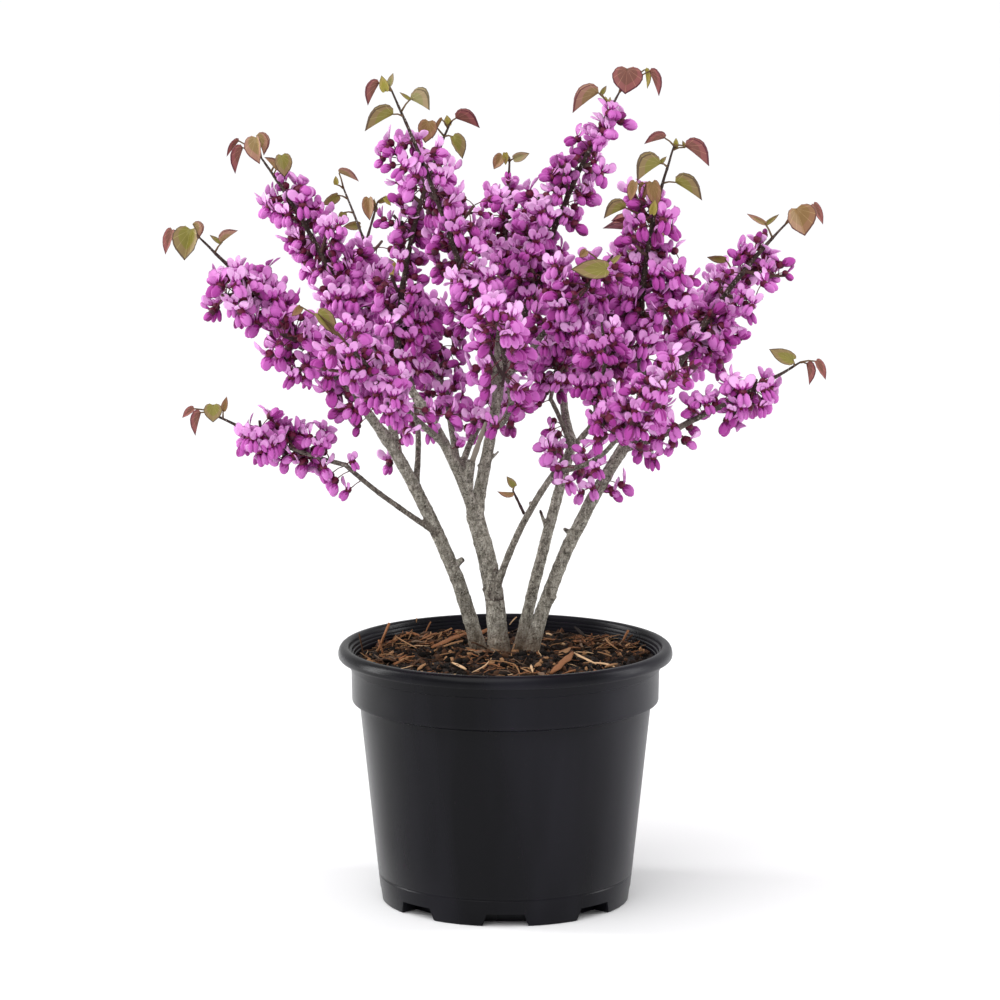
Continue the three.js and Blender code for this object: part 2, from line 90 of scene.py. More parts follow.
def chance(*keys: int) -> float:
    """A number from 0 to 1 that depends only on its keys, as in the part's source.

    Args:
        keys: Whole numbers that name the draw.

    Returns:
        The same number for the same keys, in every run.
    """
    h = FIRST_HASH
    for key in keys:
        h = ((h ^ ((key + KEY_SHIFT) & WORD)) * HASH_STEP) & WORD
        h ^= h >> 13
    h = ((h ^ (h >> 15)) * HASH_STIR) & WORD
    return (h ^ (h >> 13)) / (WORD + 1)


def between(low: float, high: float, share: float) -> float:
    """The number at that share of the way from low to high."""
    return low + (high - low) * share


def clamped(share: float) -> float:
    """The share, kept from 0 to 1."""
    return min(1.0, max(0.0, share))


def pick(choices: Sequence[Choice], draw: float) -> Choice:
    """The one of the choices that a draw from 0 to 1 falls on."""
    return choices[int(len(choices) * draw)]


def unit(v: Array) -> Array:
    """The vector v at length one."""
    return v / max(float(np.linalg.norm(v)), 1e-12)


def cross_frame(along: Array) -> tuple[Array, Array]:
    """Two directions across a limb.

    Args:
        along: The limb's direction.

    Returns:
        Two unit vectors at right angles to it and to each other.
    """
    reference = np.array([0.0, 1.0, 0.0] if abs(along[1]) < 0.8 else [1.0, 0.0, 0.0])
    across = unit(np.cross(along, reference))
    return across, unit(np.cross(across, along))


def turned_aside(along: Array, turn: float, lean: float, chord: Array | None = None) -> Array:
    """A direction that stands out of a limb.

    Args:
        along: The limb's direction there.
        turn: Degrees round the limb.
        lean: How much of the limb's own direction is in it.
        chord: The direction that the turn is counted round, if it isn't the limb's own there.

    Returns:
        A unit vector.
    """
    u, v = cross_frame(along if chord is None else chord)
    angle = math.radians(turn)
    return unit(u * math.cos(angle) + v * math.sin(angle) + along * lean)


def basis(forward: Array, up: Array) -> Array:
    """The turn that lays a shape's +X along forward and its +Z towards up, as a 3 by 3 matrix."""
    x = unit(forward)
    y = np.cross(up, x)
    y = unit(y) if np.linalg.norm(y) > 1e-4 else cross_frame(x)[0]
    return np.stack([x, y, np.cross(x, y)], axis=1)


# ---------------------------------------------------------------- working by hand


def deselect() -> None:
    """Leaves edit mode and selects nothing, so that an operator acts on one piece only."""
    if bpy.context.object and bpy.context.object.mode != "OBJECT":
        bpy.ops.object.mode_set(mode="OBJECT")
    bpy.ops.object.select_all(action="DESELECT")


def take(piece: Piece) -> Piece:
    """Selects one piece and makes it the active one."""
    deselect()
    piece.select_set(True)
    bpy.context.view_layer.objects.active = piece
    return piece


def edit(piece: Piece) -> None:
    """Takes one piece into edit mode."""
    take(piece)
    bpy.ops.object.mode_set(mode="EDIT")


def select_top(piece: Piece) -> None:
    """Selects the faces of a piece in edit mode that look up."""
    mesh = bmesh.from_edit_mesh(piece.data)
    bpy.ops.mesh.select_mode(type="FACE")
    for face in mesh.faces:
        face.select_set(face.normal.z > 0.5)
    bmesh.update_edit_mesh(piece.data)


def cap(piece: Piece) -> None:
    """Takes a piece into edit mode and closes its open end with one face."""
    edit(piece)
    bpy.ops.mesh.select_mode(type="EDGE")
    bpy.ops.mesh.select_all(action="DESELECT")
    bpy.ops.mesh.select_non_manifold()
    bpy.ops.mesh.edge_face_add()


def coat(piece: Piece, material: Material) -> None:
    """Gives the whole of a piece one material."""
    piece.data.materials.clear()
    piece.data.materials.append(material)


def ball(segments: int, rings: int, half: Point, middle: Point, turned: bool) -> Piece:
    """A round lump, stretched along each axis.

    Args:
        segments: Corners round it.
        rings: Rows of faces from pole to pole.
        half: Half its length along each axis.
        middle: Its middle.
        turned: Whether its poles lie along X.

    Returns:
        The lump, with its place in its mesh.
    """
    deselect()
    bpy.ops.mesh.primitive_uv_sphere_add(segments=segments, ring_count=rings, radius=1)
    piece = bpy.context.object
    edit(piece)
    bpy.ops.mesh.select_all(action="SELECT")
    if turned:
        bpy.ops.transform.rotate(value=math.pi / 2, orient_axis="Y", center_override=(0, 0, 0))
    bpy.ops.transform.resize(value=half, center_override=(0, 0, 0))
    bpy.ops.transform.translate(value=middle)
    bpy.ops.object.mode_set(mode="OBJECT")
    return piece


def apply_modifier(piece: Piece, kind: str, **settings: object) -> None:
    """Adds a modifier with these settings to a piece and applies it."""
    take(piece)
    modifier = piece.modifiers.new(kind.lower(), kind)
    for key, value in settings.items():
        setattr(modifier, key, value)
    bpy.ops.object.modifier_apply(modifier=modifier.name)


def settle(piece: Piece, name: str, smooth_angle: float | None = None) -> None:
    """Names a piece, puts its place into its mesh and smooths its shading.

    Args:
        piece: The finished piece.
        name: Its name, for its mesh too.
        smooth_angle: Edges sharper than this many degrees stay sharp; with none, all are smooth.
    """
    take(piece)
    bpy.ops.object.transform_apply(location=True, rotation=True, scale=True)
    if smooth_angle is None:
        bpy.ops.object.shade_smooth()
    else:
        bpy.ops.object.shade_smooth_by_angle(angle=math.radians(smooth_angle))
    piece.name = piece.data.name = name


def lathe(profile: Sequence[Pair], steps: int) -> Piece:
    """A round solid, made by extruding a disc ring by ring along a profile.

    Args:
        profile: Radius and height of each ring, in millimetres, from the disc on.
        steps: Corners in each ring.

    Returns:
        The solid, with its axis on Z and its last ring open.
    """
    radius, height = profile[0]
    deselect()
    bpy.ops.mesh.primitive_circle_add(
        vertices=steps, radius=radius * MM, fill_type="NGON", location=(0, 0, height * MM)
    )
    piece = bpy.context.object
    bpy.ops.object.transform_apply(location=True)
    edit(piece)
    bpy.ops.mesh.select_all(action="SELECT")
    for next_radius, next_height in profile[1:]:
        rise = (0, 0, (next_height - height) * MM)
        bpy.ops.mesh.extrude_region_move(TRANSFORM_OT_translate={"value": rise})
        grow = next_radius / radius
        bpy.ops.transform.resize(value=(grow, grow, 1), center_override=(0, 0, next_height * MM))
        radius, height = next_radius, next_height
    bpy.ops.mesh.select_all(action="SELECT")
    bpy.ops.mesh.normals_make_consistent(inside=False)
    bpy.ops.object.mode_set(mode="OBJECT")
    return piece


def tube(route: Array, radii: Sequence[float], sides: int) -> Piece:
    """A round bar along a route, drawn as a path with a thickness at each point.

    Args:
        route: The points, in millimetres.
        radii: The radius at each point, in millimetres.
        sides: Corners across it, an even number from 4.

    Returns:
        The bar as a closed mesh.
    """
    deselect()
    bpy.ops.curve.primitive_nurbs_path_add()
    piece = bpy.context.object
    path = piece.data
    path.splines.clear()
    line = path.splines.new("POLY")
    line.points.add(len(route) - 1)
    line.points.foreach_set("co", np.column_stack([route * MM, np.ones(len(route))]).ravel())
    line.points.foreach_set("radius", np.asarray(radii, float) * MM)
    path.dimensions, path.use_fill_caps = "3D", True
    path.bevel_depth, path.bevel_resolution = 1.0, sides // 2 - 2
    bpy.ops.object.convert(target="MESH")
    piece = bpy.context.object
    edit(piece)
    bpy.ops.mesh.select_all(action="SELECT")
    bpy.ops.mesh.remove_doubles(threshold=1e-6)
    bpy.ops.mesh.normals_make_consistent(inside=False)
    bpy.ops.object.mode_set(mode="OBJECT")
    return piece


def join(pieces: Iterable[Piece]) -> Piece:
    """Joins several pieces into the first one."""
    parts = list(pieces)
    take(parts[0])
    for part in parts:
        part.select_set(True)
    if len(parts) > 1:
        bpy.ops.object.join()
    return bpy.context.object


def points_of(piece: Piece) -> Array:
    """The places of a mesh's corners, one row each."""
    found = np.empty(len(piece.data.vertices) * 3, np.float32)
    piece.data.vertices.foreach_get("co", found)
    return found.reshape(-1, 3).astype(float)


def set_points(piece: Piece, places: Array) -> None:
    """Moves a mesh's corners to these places."""
    piece.data.vertices.foreach_set("co", places.astype(np.float32).ravel())
    piece.data.update()


# ---------------------------------------------------------------- finishes


def linear(colour: Colour) -> tuple[float, float, float, float]:
    """A colour of 0 to 255 as the shader's linear one."""
    shares = [c / 255 for c in colour]
    red, green, blue = (
        s / 12.92 if s <= 0.04045 else ((s + 0.055) / 1.055) ** 2.4 for s in shares
    )
    return red, green, blue, 1.0


@dataclass(frozen=True)
class PlainFinish:
    """A finish of one colour, for small pieces that are joined by the hundred."""

    name: str
    colour: Colour
    roughness: float
    specular: float
    sheen: float = 0.0

    def make(self) -> Material:
        """The finish as a material."""
        found = bpy.data.materials.get(self.name)
        if found:
            return found
        material = bpy.data.materials.new(self.name)
        material.use_nodes = True
        inputs = material.node_tree.nodes["Principled BSDF"].inputs
        inputs["Base Color"].default_value = linear(self.colour)
        inputs["Roughness"].default_value = self.roughness
        inputs["Specular IOR Level"].default_value = self.specular
        inputs["Sheen Weight"].default_value = self.sheen
        return material


class Pattern:
    """A material whose nodes are laid one after another."""

    def __init__(self, name: str) -> None:
        """Starts the material.

        Args:
            name: The material's name.
        """
        self.material = bpy.data.materials.new(name)
        self.material.use_nodes = True
        self.tree = self.material.node_tree
        self.shader = self.tree.nodes["Principled BSDF"]
        self.place = self.tree.nodes.new("ShaderNodeTexCoord").outputs["Object"]

    def link(self, source: Socket, target: Socket) -> None:
        """Links one socket to another."""
        self.tree.links.new(source, target)

    def node(self, kind: str, **inputs: object) -> bpy.types.Node:
        """A new node.

        Args:
            kind: Its kind, without the usual first words.
            inputs: A number to set or a socket to link for each input, with _ for a space.

        Returns:
            The node.
        """
        node = self.tree.nodes.new(f"ShaderNode{kind}")
        for key, value in inputs.items():
            socket = node.inputs[key.replace("_", " ")]
            if isinstance(value, Socket):
                self.link(value, socket)
            else:
                socket.default_value = value
        return node

    def height(self) -> Socket:
        """The height above the floor, in metres."""
        return self.node("SeparateXYZ", Vector=self.place).outputs["Z"]

    def stretched(self, scale: Point) -> Socket:
        """The Object coordinates scaled along each axis."""
        return self.node("Mapping", Scale=scale, Vector=self.place).outputs["Vector"]

    def cloud(
        self, scale: float, detail: float, rough: float, place: Socket | None = None
    ) -> Socket:
        """A noise pattern of that many cells a metre."""
        where = place or self.place
        node = self.node("TexNoise", Scale=scale, Detail=detail, Roughness=rough, Vector=where)
        return node.outputs["Fac"]

    def cells(self, scale: float, place: Socket | None = None) -> Socket:
        """The distance to the nearest of many scattered points, that many a metre."""
        node = self.node("TexVoronoi", Scale=scale, Vector=place or self.place)
        return node.outputs["Distance"]

    def attribute(self, name: str) -> Socket:
        """A number that the mesh carries at each corner."""
        node = self.node("Attribute")
        node.attribute_name = name
        return node.outputs["Fac"]

    def ramp(self, source: Socket, stops: Sequence[tuple[float, Colour]]) -> Socket:
        """Colours along a number from 0 to 1."""
        node = self.node("ValToRGB", Fac=source)
        for element, (position, colour) in zip(node.color_ramp.elements, (stops[0], stops[-1])):
            element.position, element.color = position, linear(colour)
        for position, colour in stops[1:-1]:
            node.color_ramp.elements.new(position).color = linear(colour)
        return node.outputs["Color"]

    def grade(
        self, source: Socket, low: float, high: float, to_low: float = 0.0, to_high: float = 1.0
    ) -> Socket:
        """A number brought from one range to another, and kept in it."""
        ends = {"From_Min": low, "From_Max": high, "To_Min": to_low, "To_Max": to_high}
        return self.node("MapRange", Value=source, **ends).outputs["Result"]

    def mix(self, share: Socket, first: Socket, second: Socket | Colour) -> Socket:
        """Two colours mixed by a share."""
        node = self.node("Mix")
        node.data_type = "RGBA"
        self.link(share, node.inputs["Factor"])
        colours = [socket for socket in node.inputs if socket.type == "RGBA"]
        self.link(first, colours[0])
        if isinstance(second, tuple):
            colours[1].default_value = linear(second)
        else:
            self.link(second, colours[1])
        return next(socket for socket in node.outputs if socket.type == "RGBA")

    def bump(self, heights: Sequence[tuple[Socket, float]]) -> None:
        """Fine relief from several heights, each with its depth in metres."""
        normal = None
        for height, depth in heights:
            node = self.node("Bump", Distance=depth, Height=height)
            if normal is not None:
                self.link(normal, node.inputs["Normal"])
            normal = node.outputs["Normal"]
        self.link(normal, self.shader.inputs["Normal"])


@dataclass(frozen=True)
class BarkFinish:
    """Grey bark that turns brown on young wood, with pale breathing pores."""

    name: str
    old: tuple[Colour, Colour, Colour] = ((78, 72, 63), (160, 154, 141), (226, 221, 208))
    young: tuple[Colour, Colour, Colour] = ((44, 33, 33), (80, 64, 58), (118, 101, 92))
    pore: Colour = (222, 216, 202)
    crack: Colour = (42, 36, 31)
    foot: Colour = (104, 78, 54)

    def make(self) -> Material:
        """The finish as a material that reads the mesh's own `youth`."""
        p = Pattern(self.name)
        stretched = p.stretched((1.0, 1.0, 0.55))
        coarse = p.cloud(330, 7, 0.85, stretched)
        fine = p.cloud(700, 3, 0.6, p.stretched((1.0, 1.0, 1.4)))
        rings = p.cloud(230, 3, 0.6, p.stretched((0.3, 0.3, 1.7)))
        both = p.grade(coarse, 0.36, 0.64)
        old = p.ramp(both, list(zip((0.0, 0.5, 1.0), self.old)))
        young = p.ramp(both, list(zip((0.0, 0.5, 1.0), self.young)))
        skin = p.mix(p.attribute("youth"), old, young)
        cracked = p.mix(p.grade(rings, 0.4, 0.33, 0.0, 0.45), skin, self.crack)
        dark = p.mix(p.grade(fine, 0.45, 0.33, 0.0, 0.9), cracked, self.crack)
        pores = p.grade(p.cells(560, stretched), 0.26, 0.1, 0.0, 0.75)
        spotted = p.mix(pores, dark, self.pore)
        earthy = p.grade(p.height(), (GROUND + 22) * MM, (GROUND + 2) * MM, 0.0, 0.8)
        p.link(p.mix(earthy, spotted, self.foot), p.shader.inputs["Base Color"])
        p.link(p.grade(fine, 0.2, 0.8, 0.95, 0.72), p.shader.inputs["Roughness"])
        p.shader.inputs["Specular IOR Level"].default_value = 0.3
        p.bump([(coarse, 0.0018), (fine, 0.0014), (pores, 0.0003)])
        return p.material


@dataclass(frozen=True)
class PlasticFinish:
    """Black moulded plastic with a satin skin, faint rub marks and dust; its lighter upright
    streaks are partly rub marks and partly painted reflection.
    """

    name: str
    base: Colour = (2, 2, 6)
    # The lighter colour of the upright streaks: partly rub marks, partly painted reflection bands.
    rub_marks_and_sheen: Colour = (30, 29, 37)
    dust: Colour = (66, 60, 56)

    def make(self) -> Material:
        """The finish as a material."""
        p = Pattern(self.name)
        streaks = p.cloud(15, 3, 0.5, p.stretched((1.0, 1.0, 0.1)))
        grain = p.cloud(2400, 2, 0.6)
        specks = p.grade(p.cells(150), 0.05, 0.03, 0.0, 0.35)
        # Upright streaks of lighter colour, partly rub marks and partly painted reflection.
        skin = p.ramp(streaks, [(0.38, self.base), (0.78, self.rub_marks_and_sheen)])
        p.link(p.mix(specks, skin, self.dust), p.shader.inputs["Base Color"])
        p.link(p.grade(streaks, 0.3, 0.75, 0.24, 0.34), p.shader.inputs["Roughness"])
        p.shader.inputs["Specular IOR Level"].default_value = 0.15
        p.bump([(grain, 0.00005)])
        return p.material


@dataclass(frozen=True)
class SoilFinish:
    """Damp composted bark: near black, with brown crumbs, and darkest in its hollows and dips as
    painted shade.
    """

    name: str
    # Near black: the damp bark's own colour, and painted shade in the hollows and dips.
    damp_and_hollow_shade: Colour = (6, 4, 3)
    brown: Colour = (42, 28, 19)
    pale: Colour = (96, 67, 44)

    def make(self) -> Material:
        """The finish as a material."""
        p = Pattern(self.name)
        lumps = p.cloud(170, 6, 0.7)
        crumbs = p.cells(420)
        # The low places of the lumps, which the bump sinks, take the near-black colour as painted
        # shade.
        skin = p.ramp(lumps, [(0.36, self.damp_and_hollow_shade), (0.54, self.brown), (0.74, self.pale)])
        # The dips that the crumb cells press into the bump get the near-black colour too, as
        # painted shade.
        painted_dip_shade = p.grade(crumbs, 0.5, 0.1, 0.0, 0.7)
        p.link(p.mix(painted_dip_shade, skin, self.damp_and_hollow_shade), p.shader.inputs["Base Color"])
        p.shader.inputs["Roughness"].default_value = 0.92
        p.bump([(lumps, 0.003), (crumbs, 0.0018)])
        return p.material


class Petal(IntEnum):
    """The tones of one flower, from its pale rims to its red cup, as slots."""

    RIM = 0
    BLADE = 1
    # The keel's faces that look down get this deeper colour too, as painted shade.
    FLANK = 2
    THROAT = 3
    CUP = 4
    CUP_SHADE = 5


@dataclass(frozen=True)
class Tint:
    """The four petal colours of one spray's flowers."""

    name: str
    rim: Colour
    blade: Colour
    flank: Colour
    throat: Colour

    def finishes(self) -> list[PlainFinish]:
        """One plain finish for each of its colours."""
        shades = {"rim": self.rim, "blade": self.blade, "flank": self.flank, "throat": self.throat}
        return [
            PlainFinish(f"petal_{self.name}_{part}", colour, 0.5, 0.3, 0.08)
            for part, colour in shades.items()
        ]


TINTS: tuple[Tint, ...] = (
    Tint("orchid", (226, 154, 219), (190, 89, 178), (145, 34, 128), (86, 4, 58)),
    Tint("mallow", (209, 124, 199), (171, 61, 155), (124, 22, 104), (74, 3, 48)),
    Tint("phlox", (241, 182, 236), (206, 115, 196), (162, 49, 145), (96, 8, 68)),
)
# The calyx's colour, and a darker one that is painted shade on its faces that look down.
CUP_FINISHES: tuple[PlainFinish, ...] = (
    PlainFinish("calyx", (96, 8, 46), 0.5, 0.35),
    PlainFinish("calyx_shade", (60, 4, 28), 0.55, 0.35),
)


class Wood(IntEnum):
    """The finishes of the thin wood and the stalks, as slots."""

    TWIG = 0
    TWIG_SHADE = 1
    FLOWER_STALK = 2
    LEAF_STALK = 3
    SHOOT = 4


WOOD_FINISHES: tuple[PlainFinish, ...] = (
    PlainFinish("twig_wood", (88, 66, 58), 0.8, 0.3),
    PlainFinish("twig_shade", (62, 44, 44), 0.8, 0.3),
    PlainFinish("flower_stalk", (110, 52, 62), 0.6, 0.35),
    PlainFinish("leaf_stalk", (104, 80, 52), 0.6, 0.35),
    PlainFinish("shoot_bark", (136, 128, 116), 0.85, 0.25),
)


class Foliage(Enum):
    """The tints of the young leaves."""

    OLIVE = "olive"
    BRONZE = "bronze"
    RED = "red"
    LIME = "lime"
    PINK = "pink"
    PALE = "pale"


# Each tint's colour near the midrib, towards the edge, on the veins and at the rim.
LEAF_COLOURS: dict[Foliage, tuple[Colour, Colour, Colour, Colour]] = {
    Foliage.OLIVE: ((130, 122, 52), (140, 118, 76), (170, 158, 100), (92, 72, 50)),
    Foliage.BRONZE: ((136, 104, 60), (148, 108, 76), (178, 146, 102), (102, 62, 50)),
    Foliage.RED: ((122, 76, 64), (144, 84, 80), (182, 132, 108), (96, 40, 50)),
    Foliage.LIME: ((150, 140, 54), (162, 146, 74), (194, 184, 110), (114, 100, 48)),
    Foliage.PINK: ((148, 124, 80), (170, 128, 106), (192, 164, 124), (120, 72, 68)),
    Foliage.PALE: ((154, 148, 96), (170, 150, 112), (196, 184, 140), (112, 100, 72)),
}


# ---------------------------------------------------------------- the plant's frame of limbs


@dataclass(frozen=True)
class LimbSizes:
    """Where a limb leaves its parent, where it ends, how far its middle bows, and its two radii."""

    tip: Point
    bow: Point
    radius: Pair
    foot: Pair | None = None
    parent: str = ""
    at: float = 0.0


def stem(foot: Pair, tip: Point, bow: Point, radius: Pair) -> LimbSizes:
    """The sizes of a stem that stands in the potting mix."""
    return LimbSizes(tip, bow, radius, foot=foot)


def bough(parent: str, at: float, tip: Point, bow: Point, radius: Pair) -> LimbSizes:
    """The sizes of a bough that leaves its parent at a share of the parent's length."""
    return LimbSizes(tip, bow, radius, parent=parent, at=at)


STEMS: dict[str, LimbSizes] = {
    "stem_left": stem((-17, 10), (-79, -12, 150), (15, 3, -4), (5.2, 4.0)),
    "stem_centre": stem((-4, -3), (-21, 2, 97), (7, 0, 0), (6.9, 5.9)),
    "stem_right_inner": stem((9, 16), (46, 34, 141), (-3, -2, 0), (4.2, 3.4)),
    "stem_right_outer": stem((16, -3), (85, -8, 152), (-17, 2, 0), (4.9, 4.0)),
}
BOUGHS: dict[str, LimbSizes] = {
    name: bough(*row)
    for name, row in {
        "bough_left": ("stem_left", 0.985, (-105, -28, 187), (2, 0, -2), (3.5, 2.8)),
        "bough_upper_left": ("stem_left", 0.93, (-87, 18, 187), (4, 6, 0), (3.1, 2.6)),
        "bough_low_left": ("stem_left", 0.58, (-107, -27, 135), (-1, 0, -4), (2.0, 1.6)),
        "bough_back_left": ("stem_left", 0.78, (-62, 42, 175), (5, 6, 0), (2.1, 1.7)),
        "bough_centre": ("stem_centre", 0.985, (-2, 8, 193), (2, 0, 4), (4.6, 3.0)),
        "bough_centre_left": ("stem_centre", 0.93, (-54, -20, 171), (6, 0, 1), (4.1, 3.1)),
        "bough_stump": ("bough_centre_left", 0.28, (-23, -8, 134), (0, 0, 0), (3.4, 3.3)),
        "bough_side": ("stem_centre", 0.42, (57, -44, 163), (-15, -4, 6), (2.5, 2.0)),
        "bough_right_back": ("stem_right_inner", 0.98, (40, 62, 175), (-4, -2, 4), (3.1, 2.4)),
        "bough_low_centre": ("stem_right_inner", 0.96, (30, 14, 173), (3, 0, -2), (1.9, 1.5)),
        "bough_right": ("stem_right_outer", 0.985, (112, 14, 189), (2, 0, -2), (3.5, 2.8)),
        "bough_right_top": ("stem_right_outer", 0.92, (90, -28, 191), (6, -4, 0), (3.1, 2.6)),
        "bough_low_right": ("stem_right_outer", 0.94, (122, -38, 165), (0, -4, -3), (2.6, 2.0)),
        "bough_front_right": ("bough_side", 0.72, (66, -90, 154), (4, 0, -6), (1.9, 1.6)),
        "bough_inner_left": ("bough_centre_left", 0.98, (-72, 2, 197), (-2, -4, 2), (2.9, 2.4)),
        "bough_front_left": ("bough_centre_left", 0.7, (-62, -72, 175), (4, -8, -4), (2.5, 2.0)),
        "bough_far_left": ("bough_centre_left", 0.42, (-40, 70, 169), (0, 8, -8), (2.6, 2.0)),
        "bough_top": ("bough_centre", 0.98, (12, 24, 223), (0, 0, 2), (2.9, 2.5)),
        "bough_top_left": ("bough_centre", 0.86, (-18, -14, 223), (-4, -4, 0), (2.6, 2.2)),
        "bough_centre_right": ("bough_centre", 0.94, (24, -28, 221), (2, -6, -4), (2.5, 2.1)),
        "bough_centre_back": ("bough_centre", 0.78, (-4, 56, 211), (-2, 8, 0), (2.7, 2.2)),
        "bough_front": ("bough_centre", 0.6, (4, -66, 183), (2, -6, -10), (2.5, 2.0)),
        "bough_back": ("bough_centre_left", 0.4, (4, 80, 167), (-12, 8, 5), (2.4, 1.9)),
        "bough_far_right": ("bough_right", 0.5, (118, 66, 183), (0, 6, -4), (2.4, 1.9)),
    }.items()
}
FLARE_SHARE = 0.32
FLARE_HEIGHT = 9.0


@dataclass(frozen=True)
class MassSizes:
    """A mass of blossom: its bough, its spine's tip and bow, and its longest twigs."""

    bough: str
    tip: Point
    bow: Point
    reach: float


MASSES: dict[str, MassSizes] = {
    mass: MassSizes(*row)
    for mass, row in {
        "blossom_left": ("bough_left", (-199, -60, 289), (0, 0, 2), 44),
        "blossom_upper_left": ("bough_upper_left", (-164, 50, 331), (10, 0, 6), 44),
        "blossom_low_left": ("bough_low_left", (-192, -40, 170), (0, 0, -6), 24),
        "blossom_back_left": ("bough_back_left", (-111, 114, 304), (4, 4, 0), 44),
        "blossom_inner_left": ("bough_inner_left", (-37, 22, 356), (-18, 4, 0), 36),
        "blossom_top_left": ("bough_top_left", (-74, -44, 383), (8, -4, 0), 36),
        "blossom_front_left": ("bough_front_left", (-102, -150, 233), (0, 0, 0), 44),
        "blossom_front": ("bough_front", (-6, -165, 247), (0, 0, 6), 46),
        "blossom_front_right": ("bough_front_right", (108, -152, 214), (0, 0, 0), 42),
        "blossom_centre_right": ("bough_centre_right", (69, -86, 280), (0, 0, -4), 42),
        "blossom_top": ("bough_top", (76, 34, 376), (-10, 0, 2), 38),
        "blossom_centre_back": ("bough_centre_back", (3, 100, 326), (0, 2, 0), 42),
        "blossom_right_top": ("bough_right_top", (109, -66, 349), (-16, 0, 0), 38),
        "blossom_right": ("bough_right", (188, 40, 287), (-4, 0, 8), 42),
        "blossom_low_right": ("bough_low_right", (193, -52, 206), (0, 0, -2), 28),
        "blossom_low_centre": ("bough_low_centre", (40, 0, 243), (2, 0, 0), 34),
        "blossom_inner_right": ("bough_side", (62, -82, 236), (10, 0, 0), 34),
        "blossom_right_back": ("bough_right_back", (98, 122, 278), (0, 4, 0), 44),
        "blossom_far_right": ("bough_far_right", (158, 128, 249), (0, 4, 0), 42),
        "blossom_far_left": ("bough_far_left", (-84, 160, 233), (0, 4, 0), 42),
        "blossom_back": ("bough_back", (16, 170, 243), (0, 4, 0), 44),
    }.items()
}
# The masses whose flowers are joined into one piece.
SPRAYS: dict[str, tuple[str, ...]] = {
    "flowers_left": ("blossom_left", "blossom_upper_left", "blossom_low_left", "blossom_back_left"),
    "flowers_top": ("blossom_inner_left", "blossom_top_left", "blossom_top", "blossom_centre_back"),
    "flowers_front": ("blossom_front_left", "blossom_front", "blossom_front_right"),
    "flowers_centre": ("blossom_centre_right", "blossom_low_centre", "blossom_inner_right"),
    "flowers_right": ("blossom_right_top", "blossom_right", "blossom_low_right"),
    "flowers_back": ("blossom_right_back", "blossom_far_right", "blossom_far_left", "blossom_back"),
}

FOOT_DEPTH = 2.0
SPINE_FOOT, SPINE_START = 0.95, 0.985
SPINE_TIP_RADIUS = 1.1
TWIG_RADII = (1.4, 0.9)
TWIG_SHARES = (0.08, 0.74)
TWIG_SPACING = 23.0
TWIG_LEAN = 0.62
TWIG_SAG = 0.1
# The shortest twig as a share of the mass's reach, and how much shorter they are at the tip.
TWIG_SHORTEST, TWIG_TAPER = 0.6, 0.45
# The shares of a spine and of a twig at which the flowers begin.
SPINE_BARE_FOOT, TWIG_BARE_FOOT = 0.05, 0.2
# The share of a spine that is bare at its tip, and where it isn't the usual one.
BARE_TIP = 0.14
BARE_TIPS: dict[str, float] = {
    "blossom_left": 0.17,
    "blossom_low_left": 0.17,
    "blossom_back_left": 0.42,
    "blossom_top_left": 0.17,
    "blossom_top": 0.1,
    "blossom_centre_back": 0.2,
    "blossom_right_top": 0.25,
    "blossom_low_right": 0.2,
}
# Nothing grows lower than this above the ground.
LOWEST = 8.0


class Limb:
    """A limb's route, a quadratic curve, and its thickness, in the plant's frame."""

    AXIS_STEPS = 12
    LENGTH_POINTS = 201

    def __init__(
        self, start: Array, tip: Array, bow: Array, radius: Pair, flare: bool = False
    ) -> None:
        """Lays the limb.

        Args:
            start: Where it begins.
            tip: Where it ends.
            bow: How far its middle is drawn aside.
            radius: Its radius at both ends.
            flare: Whether it widens towards the ground.
        """
        self.start, self.tip = np.asarray(start, float), np.asarray(tip, float)
        self.middle = (self.start + self.tip) / 2 + np.asarray(bow, float)
        self.radius = radius
        self.flare = flare
        self.chord = unit(self.tip - self.start)
        steps = self.many(np.linspace(0, 1, self.LENGTH_POINTS))
        self.length = float(np.linalg.norm(np.diff(steps, axis=0), axis=1).sum())
        self.axis = self.many(np.linspace(0, 1, self.AXIS_STEPS + 1))

    def many(self, shares: Array) -> Array:
        """The points at these shares of the curve, one row each."""
        t = np.asarray(shares, float)[:, None]
        return (1 - t) ** 2 * self.start + 2 * t * (1 - t) * self.middle + t**2 * self.tip

    def at(self, share: float) -> Array:
        """The point at one share of the curve."""
        return self.many([share])[0]

    def tangent(self, share: float) -> Array:
        """The limb's direction at one share of the curve."""
        rise = (1 - share) * (self.middle - self.start) + share * (self.tip - self.middle)
        return unit(rise)

    def thickness(self, share: float) -> float:
        """The limb's radius at one share of the curve."""
        plain = between(self.radius[0], self.radius[1], share)
        if not self.flare:
            return plain
        return plain * (1 + FLARE_SHARE * math.exp(-share * self.length / FLARE_HEIGHT))


def distances(points: Array, axis: Array) -> tuple[Array, Array]:
    """How far points are from a broken line.

    Args:
        points: The points, one row each.
        axis: The line's corners, one row each.

    Returns:
        Each point's distance, and the share of the line's corners at which it is nearest.
    """
    start, step = axis[:-1], np.diff(axis, axis=0)
    away = points[:, None, :] - start[None, :, :]
    share = np.clip((away * step).sum(2) / (step * step).sum(1), 0, 1)
    gap = np.linalg.norm(away - share[..., None] * step, axis=2)
    best = gap.argmin(1)
    rows = np.arange(len(points))
    return gap[rows, best], (best + share[rows, best]) / len(step)


@dataclass
class Twig:
    """A side twig, and the seed of its flowers."""

    limb: Limb
    seed: int


